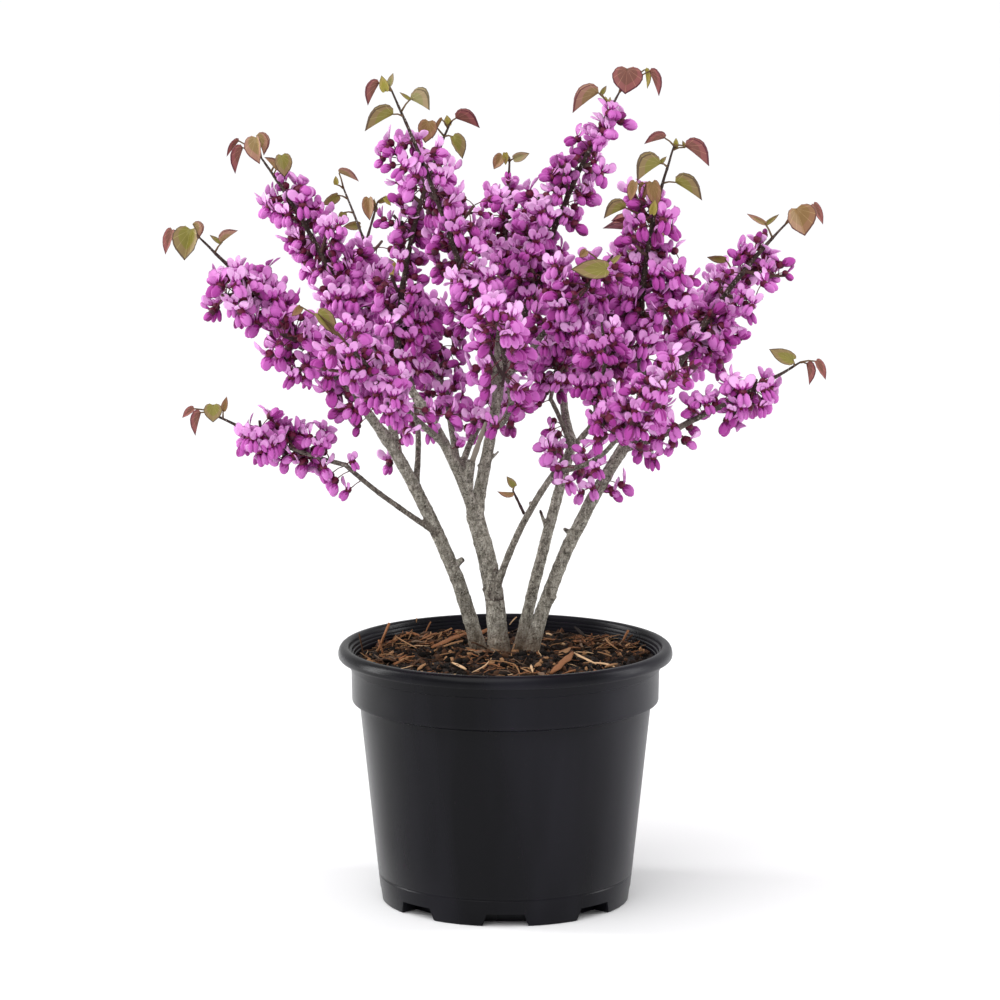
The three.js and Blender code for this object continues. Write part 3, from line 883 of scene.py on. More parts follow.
@dataclass
class Mass:
    """One mass of blossom: its spine and the twigs that keep to its space."""

    name: str
    index: int
    spine: Limb
    reach: float
    twigs: list[Twig] = field(default_factory=list)

    def bearers(self) -> Iterator[tuple[int, Limb, float, float]]:
        """The seed, the limb, and the shares between which it flowers, for each limb that does."""
        bare_tip = BARE_TIPS.get(self.name, BARE_TIP)
        yield self.index * 100, self.spine, SPINE_BARE_FOOT, 1 - bare_tip
        for twig in self.twigs:
            yield twig.seed, twig.limb, TWIG_BARE_FOOT, 1.0


class Skeleton:
    """All limbs of the plant, by the same rule and the same seeds as the solids."""

    def __init__(self) -> None:
        """Grows the stems, the boughs, the spines and their side twigs."""
        self.limbs: dict[str, Limb] = {}
        for name, s in STEMS.items():
            foot = np.array([*s.foot, -FOOT_DEPTH])
            self.limbs[name] = Limb(foot, s.tip, s.bow, s.radius, flare=True)
        for name, b in BOUGHS.items():
            self.limbs[name] = Limb(self.limbs[b.parent].at(b.at), b.tip, b.bow, b.radius)
        self.masses: dict[str, Mass] = {}
        for index, (name, m) in enumerate(MASSES.items()):
            carrier = self.limbs[m.bough]
            radius = (carrier.radius[1] * SPINE_FOOT, SPINE_TIP_RADIUS)
            spine = Limb(carrier.at(SPINE_START), m.tip, m.bow, radius)
            self.masses[name] = Mass(name, index, spine, m.reach)
        for mass in self.masses.values():
            mass.twigs = list(self.side_twigs(mass))

    def side_twigs(self, mass: Mass) -> Iterator[Twig]:
        """The side twigs of a mass's spine that keep to its space, at golden-angle steps."""
        first, last = TWIG_SHARES
        count = round((last - first) * mass.spine.length / TWIG_SPACING)
        row = 0
        for i in range(count):
            share = between(first, last, (i + 0.5) / count)
            turn = i * GOLDEN_ANGLE + 360 * chance(mass.index, i, 1)
            out = turned_aside(mass.spine.tangent(share), turn, TWIG_LEAN, mass.spine.chord)
            grown = between(TWIG_SHORTEST, 1, chance(mass.index, i, 2)) * (1 - TWIG_TAPER * share)
            length = mass.reach * grown
            start = mass.spine.at(share)
            limb = Limb(start, start + out * length, -TWIG_SAG * length * UP, TWIG_RADII)
            if self.takes(mass, limb.many(np.linspace(0.0, 1.0, 7)), 0.6, 1.0):
                row += 1
                yield Twig(limb, mass.index * 100 + row)

    def takes(self, mass: Mass | None, points: Array, margin: float, clear: float) -> bool:
        """Says whether points keep to a mass's space and stay clear of the limbs.

        Args:
            mass: The mass, or none for what grows on old wood.
            points: The points, one row each.
            margin: Kept on each side of the border between two masses.
            clear: Kept round the limbs.

        Returns:
            True if all of them do.
        """
        if points[:, 2].min() < LOWEST:
            return False
        near = distances(points, mass.spine.axis)[0] + 2 * margin if mass else None
        for other in self.masses.values() if mass else ():
            if other is not mass and (distances(points, other.spine.axis)[0] <= near).any():
                return False
        for limb in self.limbs.values():
            gap, share = distances(points, limb.axis)
            thick = limb.radius[0] + (limb.radius[1] - limb.radius[0]) * share
            if (gap < thick + clear).any():
                return False
        return True


# ---------------------------------------------------------------- bark


@dataclass(frozen=True)
class Stub:
    """A pruned stub, spur or bud: its share of the limb, bearing, stand-out and radius."""

    share: float
    bearing: float
    length: float
    radius: float
    rise: float = 0.75


STUBS: dict[str, tuple[Stub, ...]] = {
    limb: tuple(Stub(*row) for row in rows)
    for limb, rows in {
        "stem_left": ((0.42, 10, 5, 2.0), (0.7, 200, 1.2, 1.3), (0.2, 190, 0.8, 1.4)),
        "stem_centre": (
            (0.36, 190, 9, 1.0, 1.5), (0.63, 250, 3, 2.6), (0.9, 195, 1.4, 1.3),
            (0.12, 262, 1.0, 2.0, 0.2),
        ),
        "stem_right_inner": (
            (0.57, 185, 13, 1.0, 3.0), (0.34, -20, 1.3, 1.4), (0.14, 200, 1.2, 1.1),
        ),
        "stem_right_outer": ((0.26, -30, 3.5, 3.0), (0.55, 180, 4, 1.4), (0.74, -40, 1.4, 1.5)),
        "bough_centre": ((0.33, -5, 9, 0.8, 1.0), (0.3, 190, 1.2, 1.2)),
        "bough_side": ((0.3, -10, 1.4, 1.2), (0.52, 170, 1.2, 1.1)),
        "bough_low_left": ((0.35, 250, 0.9, 1.0), (0.72, 200, 1.0, 0.9)),
    }.items()
}


@dataclass
class BarkWork:
    """The stems and boughs, each stem joined to its boughs, with the bark's relief."""

    skeleton: Skeleton
    voxel: float = 0.58
    smoothing: int = 3
    ring_step: float = 1.5
    collar: float = 0.34
    collar_start: float = 4.0
    collar_reach: float = 6.0
    node_spacing: float = 17.0
    node_swell: float = 0.07
    wander: float = 0.16
    wander_length: float = 23.0
    relief: float = 0.26
    samples: int = 60
    old_radius: float = 3.2
    stub_shares: tuple[float, ...] = (0.0, 0.45, 0.75, 0.93, 1.0)
    stub_widths: tuple[float, ...] = (1.7, 1.35, 1.05, 1.0, 0.55)

    def family(self, stem_name: str) -> list[str]:
        """The names of a stem and of all boughs that grow from it."""
        found = [stem_name]
        for name, sizes in BOUGHS.items():
            if sizes.parent in found:
                found.append(name)
        return found

    def bar(self, name: str) -> Piece:
        """One limb as a bar with a collar at its foot and slight swellings at its old nodes."""
        limb = self.skeleton.limbs[name]
        count = max(6, round(limb.length / self.ring_step))
        shares = np.linspace(0, 1, count + 1)
        seed = sum(ord(letter) for letter in name)
        route, radii = limb.many(shares), []
        u, v = cross_frame(limb.chord)
        for i, share in enumerate(shares):
            s = share * limb.length
            past_start = max(0.0, s - self.collar_start)
            collar = 0.0 if limb.flare else self.collar * math.exp(-past_start / self.collar_reach)
            phase = (s / self.node_spacing + chance(seed, 1)) % 1.0
            swell = self.node_swell * math.exp(-((phase - 0.5) ** 2) / 0.006)
            place = Vector((s / self.wander_length, seed * 0.37, 0.0))
            ease = math.sin(math.pi * share) * limb.thickness(share) * self.wander
            route[i] += u * noise.noise(place) * ease
            route[i] += v * noise.noise(place + Vector((0, 7.1, 0))) * ease
            radii.append(limb.thickness(share) * (1 + collar + swell))
        return tube(route + RAISED, radii, 12)

    def stub(self, limb: Limb, stub: Stub) -> Piece:
        """One stub as a short thick bar with a rounded end."""
        base = limb.at(stub.share)
        bearing = math.radians(stub.bearing)
        out = unit(np.array([math.cos(bearing), math.sin(bearing), stub.rise]))
        reach = limb.thickness(stub.share) + stub.length
        route = base + out * (np.array(self.stub_shares) * reach)[:, None] + RAISED
        return tube(route, np.array(self.stub_widths) * stub.radius, 8)

    def relieve(self, piece: Piece, names: Sequence[str]) -> None:
        """Raises the bark's wrinkles and pores, and writes how young the wood is at each corner."""
        tree = kdtree.KDTree(self.samples * len(names))
        thicknesses = []
        for name in names:
            limb = self.skeleton.limbs[name]
            for share in np.linspace(0, 1, self.samples):
                tree.insert(Vector((limb.at(share) + RAISED) * MM), len(thicknesses))
                thicknesses.append(limb.thickness(share))
        tree.balance()
        places = points_of(piece)
        normals = np.empty(len(places) * 3, np.float32)
        piece.data.vertices.foreach_get("normal", normals)
        normals = normals.reshape(-1, 3)
        lift = np.zeros(len(places))
        youth = np.zeros(len(places), np.float32)
        for i, place in enumerate(places):
            _, index, away = tree.find(Vector(place))
            thick = thicknesses[index]
            p = Vector(place / MM)
            rings = noise.noise(Vector((p.x * 0.22, p.y * 0.22, p.z * 1.15)))
            lumps = noise.noise(p * 0.34)
            grain = noise.noise(Vector((p.x * 1.3, p.y * 1.3, p.z * 0.5)))
            pores = max(0.0, noise.noise(p * 0.85 + Vector((9.0, 2.0, 4.0))) - 0.32)
            depth = self.relief * min(1.0, thick / 4.0)
            lift[i] = depth * (0.5 * rings + 0.75 * lumps + 0.42 * grain + 1.3 * pores)
            spur = clamped((away / MM - 1.5 * thick - 0.8) / 1.5)
            youth[i] = max(spur, clamped((self.old_radius - thick) / 2.2) ** 1.2)
        set_points(piece, places + normals * (lift * MM)[:, None])
        marks = piece.data.attributes.new("youth", "FLOAT", "POINT")
        marks.data.foreach_set("value", youth)

    def build(self, stem_name: str, bark: Material) -> Piece:
        """Builds one stem with its boughs.

        Args:
            stem_name: The stem's name.
            bark: The bark's material.

        Returns:
            The piece, which stands for the stem's and the boughs' solids.
        """
        names = self.family(stem_name)
        bars = [self.bar(name) for name in names]
        for name in names:
            limb = self.skeleton.limbs[name]
            bars += [self.stub(limb, stub) for stub in STUBS.get(name, ())]
        piece = join(bars)
        apply_modifier(piece, "REMESH", mode="VOXEL", voxel_size=self.voxel * MM)
        apply_modifier(piece, "SMOOTH", factor=0.5, iterations=self.smoothing)
        self.relieve(piece, names)
        settle(piece, f"bark_of_{stem_name}")
        coat(piece, bark)
        return finish_piece(piece, "bark", *names)


def finish_piece(piece: Piece, slot: str, *replaced: str) -> Piece:
    """Lets a finished piece ride on the part and hides what it stands for.

    Args:
        piece: The piece, with its place in its mesh.
        slot: The record's material slot; not used.
        replaced: The CAD nodes that it stands for.

    Returns:
        The piece.
    """
    deselect()
    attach(piece, BODY)
    if replaced:
        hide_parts(*replaced)
    LOG.info("%s: %d faces", piece.name, len(piece.data.polygons))
    return piece


# ---------------------------------------------------------------- joined meshes


@dataclass
class Stamp:
    """A small closed mesh as arrays, in millimetres, to be copied many times."""

    points: Array
    faces: Array
    slots: Array

    @classmethod
    def of(cls, piece: Piece, slot_of: Callable[[Array, Array], int]) -> Stamp:
        """Takes a modelled piece as a stamp and removes the piece.

        Args:
            piece: The piece, modelled at a thousand times its size.
            slot_of: Gives a face's slot from its middle and its normal.

        Returns:
            The stamp.
        """
        apply_modifier(piece, "TRIANGULATE")
        mesh = piece.data
        places = points_of(piece)
        faces = np.array([polygon.vertices[:] for polygon in mesh.polygons], int)
        normals = np.array([polygon.normal[:] for polygon in mesh.polygons])
        slots = [slot_of(m, n) for m, n in zip(places[faces].mean(1), normals)]
        bpy.data.objects.remove(piece)
        return cls(places, faces, np.array(slots, int))

    @classmethod
    def merged(cls, stamps: Sequence[Stamp]) -> Stamp:
        """Several stamps as one."""
        offsets = np.cumsum([0] + [len(s.points) for s in stamps[:-1]])
        return cls(
            np.concatenate([s.points for s in stamps]),
            np.concatenate([s.faces + o for s, o in zip(stamps, offsets)]),
            np.concatenate([s.slots for s in stamps]),
        )

    def placed(self, turn: Array, at: Sequence[float], size: float = 1.0) -> Stamp:
        """A copy that is scaled, turned by a 3 by 3 matrix and moved."""
        points = (self.points * size) @ turn.T + np.asarray(at, float)
        return Stamp(points, self.faces, self.slots)


def tube_stamp(route: Array, radii: Sequence[float], sides: int, slot: int) -> Stamp:
    """A slim closed bar along a route, as a stamp.

    Args:
        route: The points along its middle, one row each.
        radii: Its radius at each point.
        sides: Corners across it.
        slot: The slot of its faces.

    Returns:
        The stamp.
    """
    count = len(route)
    tangents = np.gradient(route, axis=0)
    u, v = cross_frame(unit(route[-1] - route[0]))
    angles = np.arange(sides) * 2 * math.pi / sides
    rings = []
    for point, radius, tangent in zip(route, radii, tangents):
        t = unit(tangent)
        a = unit(u - t * (u @ t))
        b = np.cross(t, a)
        rings.append(point + radius * (np.cos(angles)[:, None] * a + np.sin(angles)[:, None] * b))
    points = np.concatenate([*rings, route[:1], route[-1:]])
    faces = []
    for i in range(count - 1):
        for j in range(sides):
            k = (j + 1) % sides
            low, high = i * sides, (i + 1) * sides
            faces += [(low + j, low + k, high + k), (low + j, high + k, high + j)]
    foot, tip, last = count * sides, count * sides + 1, (count - 1) * sides
    for j in range(sides):
        k = (j + 1) % sides
        faces += [(foot, k, j), (tip, last + j, last + k)]
    return Stamp(points, np.array(faces, int), np.full(len(faces), slot, int))


class JoinedMesh:
    """A piece that is joined from many stamps."""

    def __init__(self, name: str, finishes: Sequence[PlainFinish]) -> None:
        """Starts an empty piece.

        Args:
            name: Its name.
            finishes: The finish of each slot.
        """
        self.name = name
        self.finishes = finishes
        self.stamps: list[Stamp] = []

    def add(self, stamp: Stamp) -> None:
        """Adds one stamp, in the row frame in millimetres."""
        self.stamps.append(stamp)

    def add_pairs(self, pairs: Iterable[tuple[Stamp, Stamp]], stalks: JoinedMesh) -> None:
        """Adds flowers or leaves to this piece, and their stalks to the joined stalks."""
        for stamp, stalk in pairs:
            self.add(stamp)
            stalks.add(stalk)

    def build(self) -> Piece:
        """Makes the mesh and its object."""
        whole = Stamp.merged(self.stamps)
        mesh = bpy.data.meshes.new(self.name)
        mesh.from_pydata((whole.points * MM).tolist(), [], whole.faces.tolist())
        for finish in self.finishes:
            mesh.materials.append(finish.make())
        mesh.polygons.foreach_set("material_index", whole.slots.astype(np.int32))
        mesh.shade_smooth()
        mesh.update()
        piece = bpy.data.objects.new(self.name, mesh)
        bpy.context.scene.collection.objects.link(piece)
        return piece


# ---------------------------------------------------------------- flowers


@dataclass
class FlowerForms:
    """The parts of one pea flower, modelled large: cup, side of the keel and upper petal."""

    lobe_length: float = 10.4
    lobe_half: Pair = (2.0, 3.5)
    petal_length: float = 11.2
    petal_half: float = 3.5
    petal_thick: float = 0.45
    cup_half: float = 2.9

    def lobe(self) -> Stamp:
        """One side of the keel: a plump pod that points forward and is slimmer at the cup."""
        half = self.lobe_length / 2
        piece = ball(8, 6, (half, *self.lobe_half), (half, 0, 0), turned=True)
        places = points_of(piece)
        share = np.clip(places[:, 0] / self.lobe_length, 0, 1)
        plump = 0.62 + 0.42 * np.sin(math.pi / 2 * np.clip(share / 0.55, 0, 1))
        places[:, 1] *= plump
        places[:, 2] *= plump
        places[:, 2] -= 1.2 * share**1.6
        set_points(piece, places)
        return Stamp.of(piece, self.lobe_slot)

    def lobe_slot(self, middle: Array, normal: Array) -> int:
        """The tone of a face of the keel: deep at the cup, deeper on the faces that look down as
        painted shade, bright at the front.
        """
        share = middle[0] / self.lobe_length
        if share < 0.16:
            return Petal.THROAT
        # Faces that look down take the flank's deeper colour as painted shade; near the cup it is
        # the keel's own colour.
        if normal[2] < -0.45 or share < 0.36:
            return Petal.FLANK
        return Petal.BLADE

    def cup(self) -> Stamp:
        """The calyx: a short swollen cup, flat where the petals leave it."""
        side = self.cup_half
        piece = ball(7, 5, (side, side, side * 1.1), (side * 0.85, 0, -0.4), turned=True)
        # Faces of the cup that look down get the darker calyx colour as painted shade.
        return Stamp.of(piece, lambda m, n: Petal.CUP if n[2] > -0.2 else Petal.CUP_SHADE)

    def petal(self) -> Stamp:
        """One upper petal along +X: a cupped oval blade on a narrow claw."""
        half = self.petal_length / 2
        piece = ball(12, 4, (half, self.petal_half, self.petal_thick), (half, 0, 0), turned=False)
        places = points_of(piece)
        share = np.clip(places[:, 0] / self.petal_length, 0, 1)
        places[:, 1] *= 0.3 + 0.78 * np.sin(math.pi / 2 * share) ** 0.9
        places[:, 2] += 0.1 * places[:, 1] ** 2 - 1.6 * share**2 + 0.8 * share
        set_points(piece, places)
        return Stamp.of(piece, self.petal_slot)

    def petal_slot(self, middle: Array, normal: Array) -> int:
        """The tone of a face of an upper petal: pale at its rim, deep at its claw."""
        share = middle[0] / self.petal_length
        if share < 0.14:
            return Petal.THROAT
        if share < 0.3 and normal[2] > 0:
            return Petal.FLANK
        return Petal.RIM if share > 0.4 else Petal.BLADE


def pitched(turn: float, pitch: float, roll: float = 0.0) -> Array:
    """A turn round Z, then up from the level, then round its own length, in degrees."""
    a, b, c = (math.radians(x) for x in (turn, pitch, roll))
    yaw = np.array([[math.cos(a), -math.sin(a), 0], [math.sin(a), math.cos(a), 0], [0, 0, 1]])
    rise = np.array([[math.cos(b), 0, -math.sin(b)], [0, 1, 0], [math.sin(b), 0, math.cos(b)]])
    spin = np.array([[1, 0, 0], [0, math.cos(c), -math.sin(c)], [0, math.sin(c), math.cos(c)]])
    return yaw @ rise @ spin


@dataclass(frozen=True)
class Opening:
    """A gap in the crown as it is seen from the front.

    Its middle and its radius lie on the upright plane through the stems. It goes through the
    whole crown, or only as far back as `back`.
    """

    x: float
    z: float
    radius: float
    back: float = 400.0


# Where the sky, or a bough behind, shows through the crown.
OPENINGS: tuple[Opening, ...] = tuple(
    Opening(*row)
    for row in (
        (-199, 271, 4.0), (-193, 277, 4.0), (-190, 149, 9.3), (-183, 275, 6.0), (-178, 131, 4.0),
        (-177, 170, 9.3), (-174, 278, 8.0), (-164, 170, 8.7), (-158, 222, 3.3), (-156, 188, 6.7),
        (-154, 151, 3.3), (-154, 267, 6.6), (-150, 195, 4.0), (-146, 259, 6.0), (-140, 171, 8.0),
        (-138, 184, 4.0), (-138, 321, 5.3), (-132, 117, 9.4), (-127, 129, 4.0), (-123, 184, 4.7),
        (-120, 318, 4.6), (-114, 142, 6.0), (-113, 104, 6.7), (-110, 148, 4.0), (-102, 297, 4.0),
        (-100, 149, 5.3), (-100, 283, 5.3), (-94, 135, 4.0), (-93, 107, 8.0), (-91, 146, 8.0),
        (-87, 122, 5.3), (-87, 329, 4.6), (-86, 291, 3.3), (-83, 281, 6.6), (-76, 304, 3.3),
        (-71, 271, 3.3), (-70, 352, 3.3), (-62, 365, 4.6), (-49, 197, 3.3), (-47, 138, 5.3),
        (-38, 191, 4.0), (-37, 152, 4.7), (-30, 201, 4.7), (-28, 170, 3.3), (-21, 313, 4.6),
        (-19, 304, 4.6), (-15, 201, 3.3), (-10, 217, 3.3), (-6, 302, 3.3), (-4, 144, 4.7),
        (-2, 324, 4.6), (5, 162, 4.7), (11, 149, 8.7), (11, 187, 4.7), (12, 195, 4.0),
        (24, 161, 4.0), (28, 166, 4.0), (29, 317, 5.3), (50, 172, 7.3), (51, 162, 6.0),
        (51, 362, 6.6), (52, 344, 3.3), (59, 370, 5.3), (63, 275, 8.0), (63, 337, 4.0),
        (67, 94, 9.4), (71, 145, 4.7), (71, 315, 6.0), (74, 341, 5.3), (80, 329, 6.6),
        (83, 304, 3.3), (91, 128, 9.4), (106, 174, 4.0), (111, 126, 9.4), (114, 176, 4.7),
        (118, 164, 3.3), (118, 183, 3.3), (118, 306, 7.9), (126, 273, 7.3), (136, 184, 6.0),
        (139, 158, 6.0), (141, 148, 5.3), (150, 205, 4.7), (160, 289, 7.3), (161, 211, 6.7),
        (163, 245, 3.3), (164, 198, 9.3), (167, 157, 6.7), (173, 222, 9.3), (176, 289, 3.3),
        (178, 239, 7.3), (179, 196, 4.7), (185, 283, 6.0), (186, 249, 9.3), (192, 185, 8.0),
        (197, 270, 9.3), (-147, 330, 5.4, 44), (-116, 308, 4.5, 108), (-108, 296, 2.8, 108),
        (-76, 261, 5.5, 130), (-52, 353, 5.3, 18), (67, 373, 2.1, 32), (69, 373, 1.9, 32),
        (84, 313, 4.9, -60), (91, 313, 4.1, -56), (99, 311, 6.3, -62), (98, 303, 3.6, -66),
        (-119, 225, 6.8, -146), (-139, 234, 3.1, -142), (56, 262, 8.3, -90), (52, 272, 2.3, -84),
        (140, 269, 4.6, 126),
    )
)
# The stretches of wood, from share to share, that no flower hangs in front of.
BARE_FRONTS: tuple[tuple[str, float, float], ...] = (
    ("stem_right_inner", 0.9, 0.98), ("stem_right_outer", 0.86, 0.95), ("bough_left", 0.02, 0.6),
    ("bough_upper_left", 0.02, 0.29), ("bough_low_left", 0.02, 0.94),
    ("bough_back_left", 0.26, 0.98), ("bough_centre", 0.8, 0.98), ("bough_centre_left", 0.02, 0.81),
    ("bough_side", 0.8, 0.88), ("bough_right_back", 0.29, 0.64), ("bough_low_centre", 0.02, 0.98),
    ("bough_inner_left", 0.18, 0.5), ("bough_far_left", 0.02, 0.25), ("bough_top", 0.02, 0.28),
    ("bough_top_left", 0.02, 0.21), ("bough_centre_back", 0.02, 0.93), ("bough_back", 0.02, 0.31),
    ("blossom_upper_left", 0.5, 0.86), ("blossom_inner_left", 0.3, 0.85),
    ("blossom_top_left", 0.3, 0.55), ("blossom_top_left", 0.78, 0.9), ("blossom_top", 0.52, 0.72),
    ("blossom_top", 0.34, 0.44), ("blossom_right_top", 0.45, 0.62), ("blossom_right", 0.5, 0.88),
    ("blossom_low_left", 0.05, 0.4), ("blossom_low_right", 0.0, 0.2),
)
# The place that the openings are looked through from, in front of the plant.
FRONT_EYE: Point = (-3.6, -3000.0, 605.34)


def seen_from_front(points: Array) -> Array:
    """Where points stand, in X and Z, on the upright plane through the stems."""
    eye = np.array(FRONT_EYE)
    share = -eye[1] / (points[:, 1] - eye[1])
    return (eye + (points - eye) * share[:, None])[:, [0, 2]]


@dataclass(frozen=True)
class PlacedBunch:
    """A bunch with a place of its own.

    It sits on a limb, or on a mass's spine (twig 0) or one of its twigs, at a share of the length.
    """

    bearer: str
    twig: int
    share: float
    way: Point
    count: int


# The seed of each of these bunches is its number in this table, so a new one goes last.
PLACED_BUNCHES: tuple[PlacedBunch, ...] = tuple(
    PlacedBunch(*row)
    for row in (
        ("bough_low_left", 0, 0.8, (0.0, -1.0, -0.1), 5),
        ("bough_left", 0, 0.5, (-0.8, -0.5, -0.4), 5),
        ("bough_left", 0, 0.8, (-0.8, -0.4, -0.3), 5),
        ("bough_back_left", 0, 0.72, (-0.8, -0.5, -0.2), 4),
        ("bough_centre_left", 0, 0.92, (-0.3, -0.9, -0.4), 5),
        ("bough_centre_left", 0, 0.62, (0.7, -0.7, 0.2), 4),
        ("bough_far_left", 0, 0.65, (0.5, -0.8, 0.1), 6),
        ("bough_far_left", 0, 0.9, (0.5, -0.7, 0.0), 6),
        ("blossom_front", 0, 1.0, (0.15, -1.0, 0.1), 6),
        ("blossom_front", 0, 0.97, (-0.7, -0.7, 0.2), 5),
        ("blossom_front", 0, 0.95, (0.7, -0.6, -0.4), 5),
        ("blossom_front_left", 0, 1.0, (-0.3, -0.9, 0.2), 5),
        ("blossom_front_right", 0, 1.0, (0.3, -0.9, 0.1), 5),
        ("bough_centre", 0, 0.7, (0.8, -0.5, -0.1), 4),
        ("bough_centre", 0, 0.66, (-0.9, -0.4, 0.0), 5),
        ("bough_front", 0, 0.7, (0.6, -0.3, -0.5), 6),
        ("bough_back", 0, 0.92, (0.8, -0.2, -0.3), 6),
        ("bough_low_centre", 0, 0.1, (-0.9, -0.4, 0.0), 5),
        ("bough_low_centre", 0, 0.5, (-0.9, -0.5, 0.0), 5),
        ("stem_right_inner", 0, 0.88, (0.1, -1.0, -0.3), 2),
        ("bough_side", 0, 0.93, (0.3, -0.8, 0.5), 6),
        ("bough_front_right", 0, 0.6, (-0.3, -0.7, 0.4), 4),
        ("stem_right_outer", 0, 0.74, (0.9, -0.4, 0.0), 4),
        ("stem_right_outer", 0, 0.77, (-0.6, -0.7, 0.4), 3),
        ("bough_low_right", 0, 0.3, (-0.1, -0.6, -0.7), 5),
        ("bough_low_right", 0, 0.75, (0.1, -0.6, -0.7), 5),
        ("bough_side", 0, 0.8, (-0.9, 0.2, -0.3), 4),
        ("bough_low_left", 0, 0.98, (-0.9, -0.5, -0.1), 2),
        ("blossom_top", 0, 0.75, (-0.3, -0.5, 0.8), 4),
        ("bough_low_right", 0, 0.8, (-0.7, 0.7, -0.2), 4),
        ("blossom_inner_left", 4, 0.5, (-0.8, 0.2, 0.6), 2),
        ("blossom_left", 4, 0.85, (-1.0, 0.2, 0.0), 2),
        ("bough_far_left", 0, 0.92, (-0.4, -0.6, 0.7), 4),
        ("blossom_top", 0, 0.85, (0.8, -0.5, -0.3), 2),
        ("bough_low_left", 0, 0.98, (-0.2, -0.5, 0.8), 4),
        ("bough_side", 0, 0.8, (-0.5, -0.7, -0.5), 4), ("bough_left", 0, 0.8, (-1.0, 0.2, -0.2), 4),
        ("blossom_upper_left", 0, 0.8, (-0.8, -0.5, 0.3), 4),
        ("blossom_right_top", 3, 1.0, (0.0, -0.5, 0.9), 4),
        ("blossom_upper_left", 0, 0.7, (-0.6, -0.5, -0.6), 2),
        ("bough_back", 0, 0.56, (0.4, 0.2, 0.9), 4), ("stem_left", 0, 0.92, (-1.0, 0.2, 0.0), 2),
        ("blossom_low_left", 0, 0.2, (0.7, 0.2, -0.7), 4),
        ("blossom_centre_back", 0, 0.75, (-0.7, 0.2, 0.7), 4),
        ("stem_right_outer", 0, 0.74, (0.4, -0.5, 0.7), 2),
        ("blossom_upper_left", 0, 0.45, (-0.8, -0.5, -0.3), 4),
        ("blossom_top", 5, 1.0, (0.3, 0.2, -0.9), 4), ("blossom_top", 0, 0.4, (0.9, -0.5, 0.0), 2),
        ("blossom_top_left", 5, 1.0, (-0.9, -0.5, 0.1), 2),
        ("blossom_left", 1, 0.5, (-0.1, 0.2, -1.0), 2),
        ("bough_far_right", 0, 0.8, (0.8, -0.5, -0.2), 2),
        ("blossom_left", 2, 1.0, (-0.8, -0.5, -0.2), 2),
        ("bough_side", 0, 0.86, (0.9, 0.2, 0.4), 2),
        ("bough_low_centre", 0, 0.98, (-0.8, -0.5, -0.2), 2),
        ("blossom_upper_left", 5, 0.5, (0.8, -0.5, 0.4), 4),
        ("blossom_right", 4, 0.7, (0.5, -0.5, 0.7), 4),
        ("bough_front_right", 0, 0.38, (0.0, 0.2, -1.0), 2),
        ("blossom_low_left", 0, 0.6, (-0.5, 0.2, -0.8), 4),
        ("blossom_low_right", 0, 0.6, (0.9, 0.2, -0.5), 4),
        ("blossom_top_left", 5, 0.85, (-0.8, 0.2, -0.5), 2),
        ("blossom_far_left", 1, 1.0, (-0.1, -0.5, 0.9), 4),
        ("blossom_left", 4, 0.85, (-1.0, 0.2, 0.1), 2),
        ("blossom_low_left", 1, 0.5, (1.0, 0.2, 0.1), 2),
        ("stem_left", 0, 0.92, (-0.8, -0.5, 0.3), 2), ("blossom_top", 4, 0.85, (-0.8, 0.2, 0.6), 4),
        ("blossom_top_left", 0, 0.3, (-0.9, -0.5, -0.1), 4),
        ("bough_low_right", 0, 0.44, (-0.8, -0.5, -0.1), 4),
        ("blossom_low_right", 0, 0.1, (-0.4, -0.5, 0.7), 4),
        ("blossom_inner_left", 4, 0.7, (-0.8, 0.2, 0.6), 4),
        ("blossom_upper_left", 0, 0.8, (-0.8, 0.2, 0.5), 4),
        ("blossom_top", 0, 0.85, (0.7, -0.5, -0.4), 2),
        ("blossom_low_left", 0, 0.65, (-0.6, -0.5, -0.6), 2),
        ("blossom_left", 0, 0.05, (-0.6, 0.2, -0.8), 4),
        ("blossom_centre_back", 0, 0.8, (0.5, 0.2, 0.9), 2),
        ("blossom_right_top", 0, 0.1, (0.7, 0.2, 0.7), 4),
        ("blossom_low_left", 1, 0.85, (-0.6, 0.2, 0.8), 2),
        ("blossom_far_left", 0, 0.1, (0.7, -0.5, -0.5), 4),
        ("bough_low_left", 0, 0.92, (-0.8, -0.5, 0.1), 2),
        ("blossom_top_left", 3, 1.0, (-0.1, 0.2, 1.0), 2),
        ("blossom_right", 0, 0.75, (-0.7, -0.5, 0.5), 4),
        ("blossom_upper_left", 0, 0.7, (-0.7, -0.5, -0.4), 4),
        ("blossom_right", 1, 1.0, (0.8, -0.5, 0.0), 4),
        ("blossom_centre_back", 0, 0.5, (-0.4, -0.6, 0.7), 4),
        ("blossom_left", 4, 0.5, (-0.7, 0.2, -0.7), 2),
        ("blossom_top", 0, 0.55, (0.8, -0.5, -0.4), 4),
        ("stem_right_outer", 0, 0.8, (0.7, -0.5, -0.5), 2),
    )
)


class Bloom(Enum):
    """How far a flower is open."""

    WIDE = "wide"
    OPEN = "open"
    YOUNG = "young"
    BUD = "bud"


@dataclass(frozen=True)
class FlowerPose:
    """How the petals of a flower stand, in degrees, and its size."""

    spread: float
    lean: float
    splay: float
    droop: float
    size: float


FLOWER_POSES: dict[Bloom, FlowerPose] = {
    Bloom.WIDE: FlowerPose(34, 2, 8, 28, 1.0),
    Bloom.OPEN: FlowerPose(25, 12, 3, 22, 0.95),
    Bloom.YOUNG: FlowerPose(14, 36, 0, 14, 0.8),
}


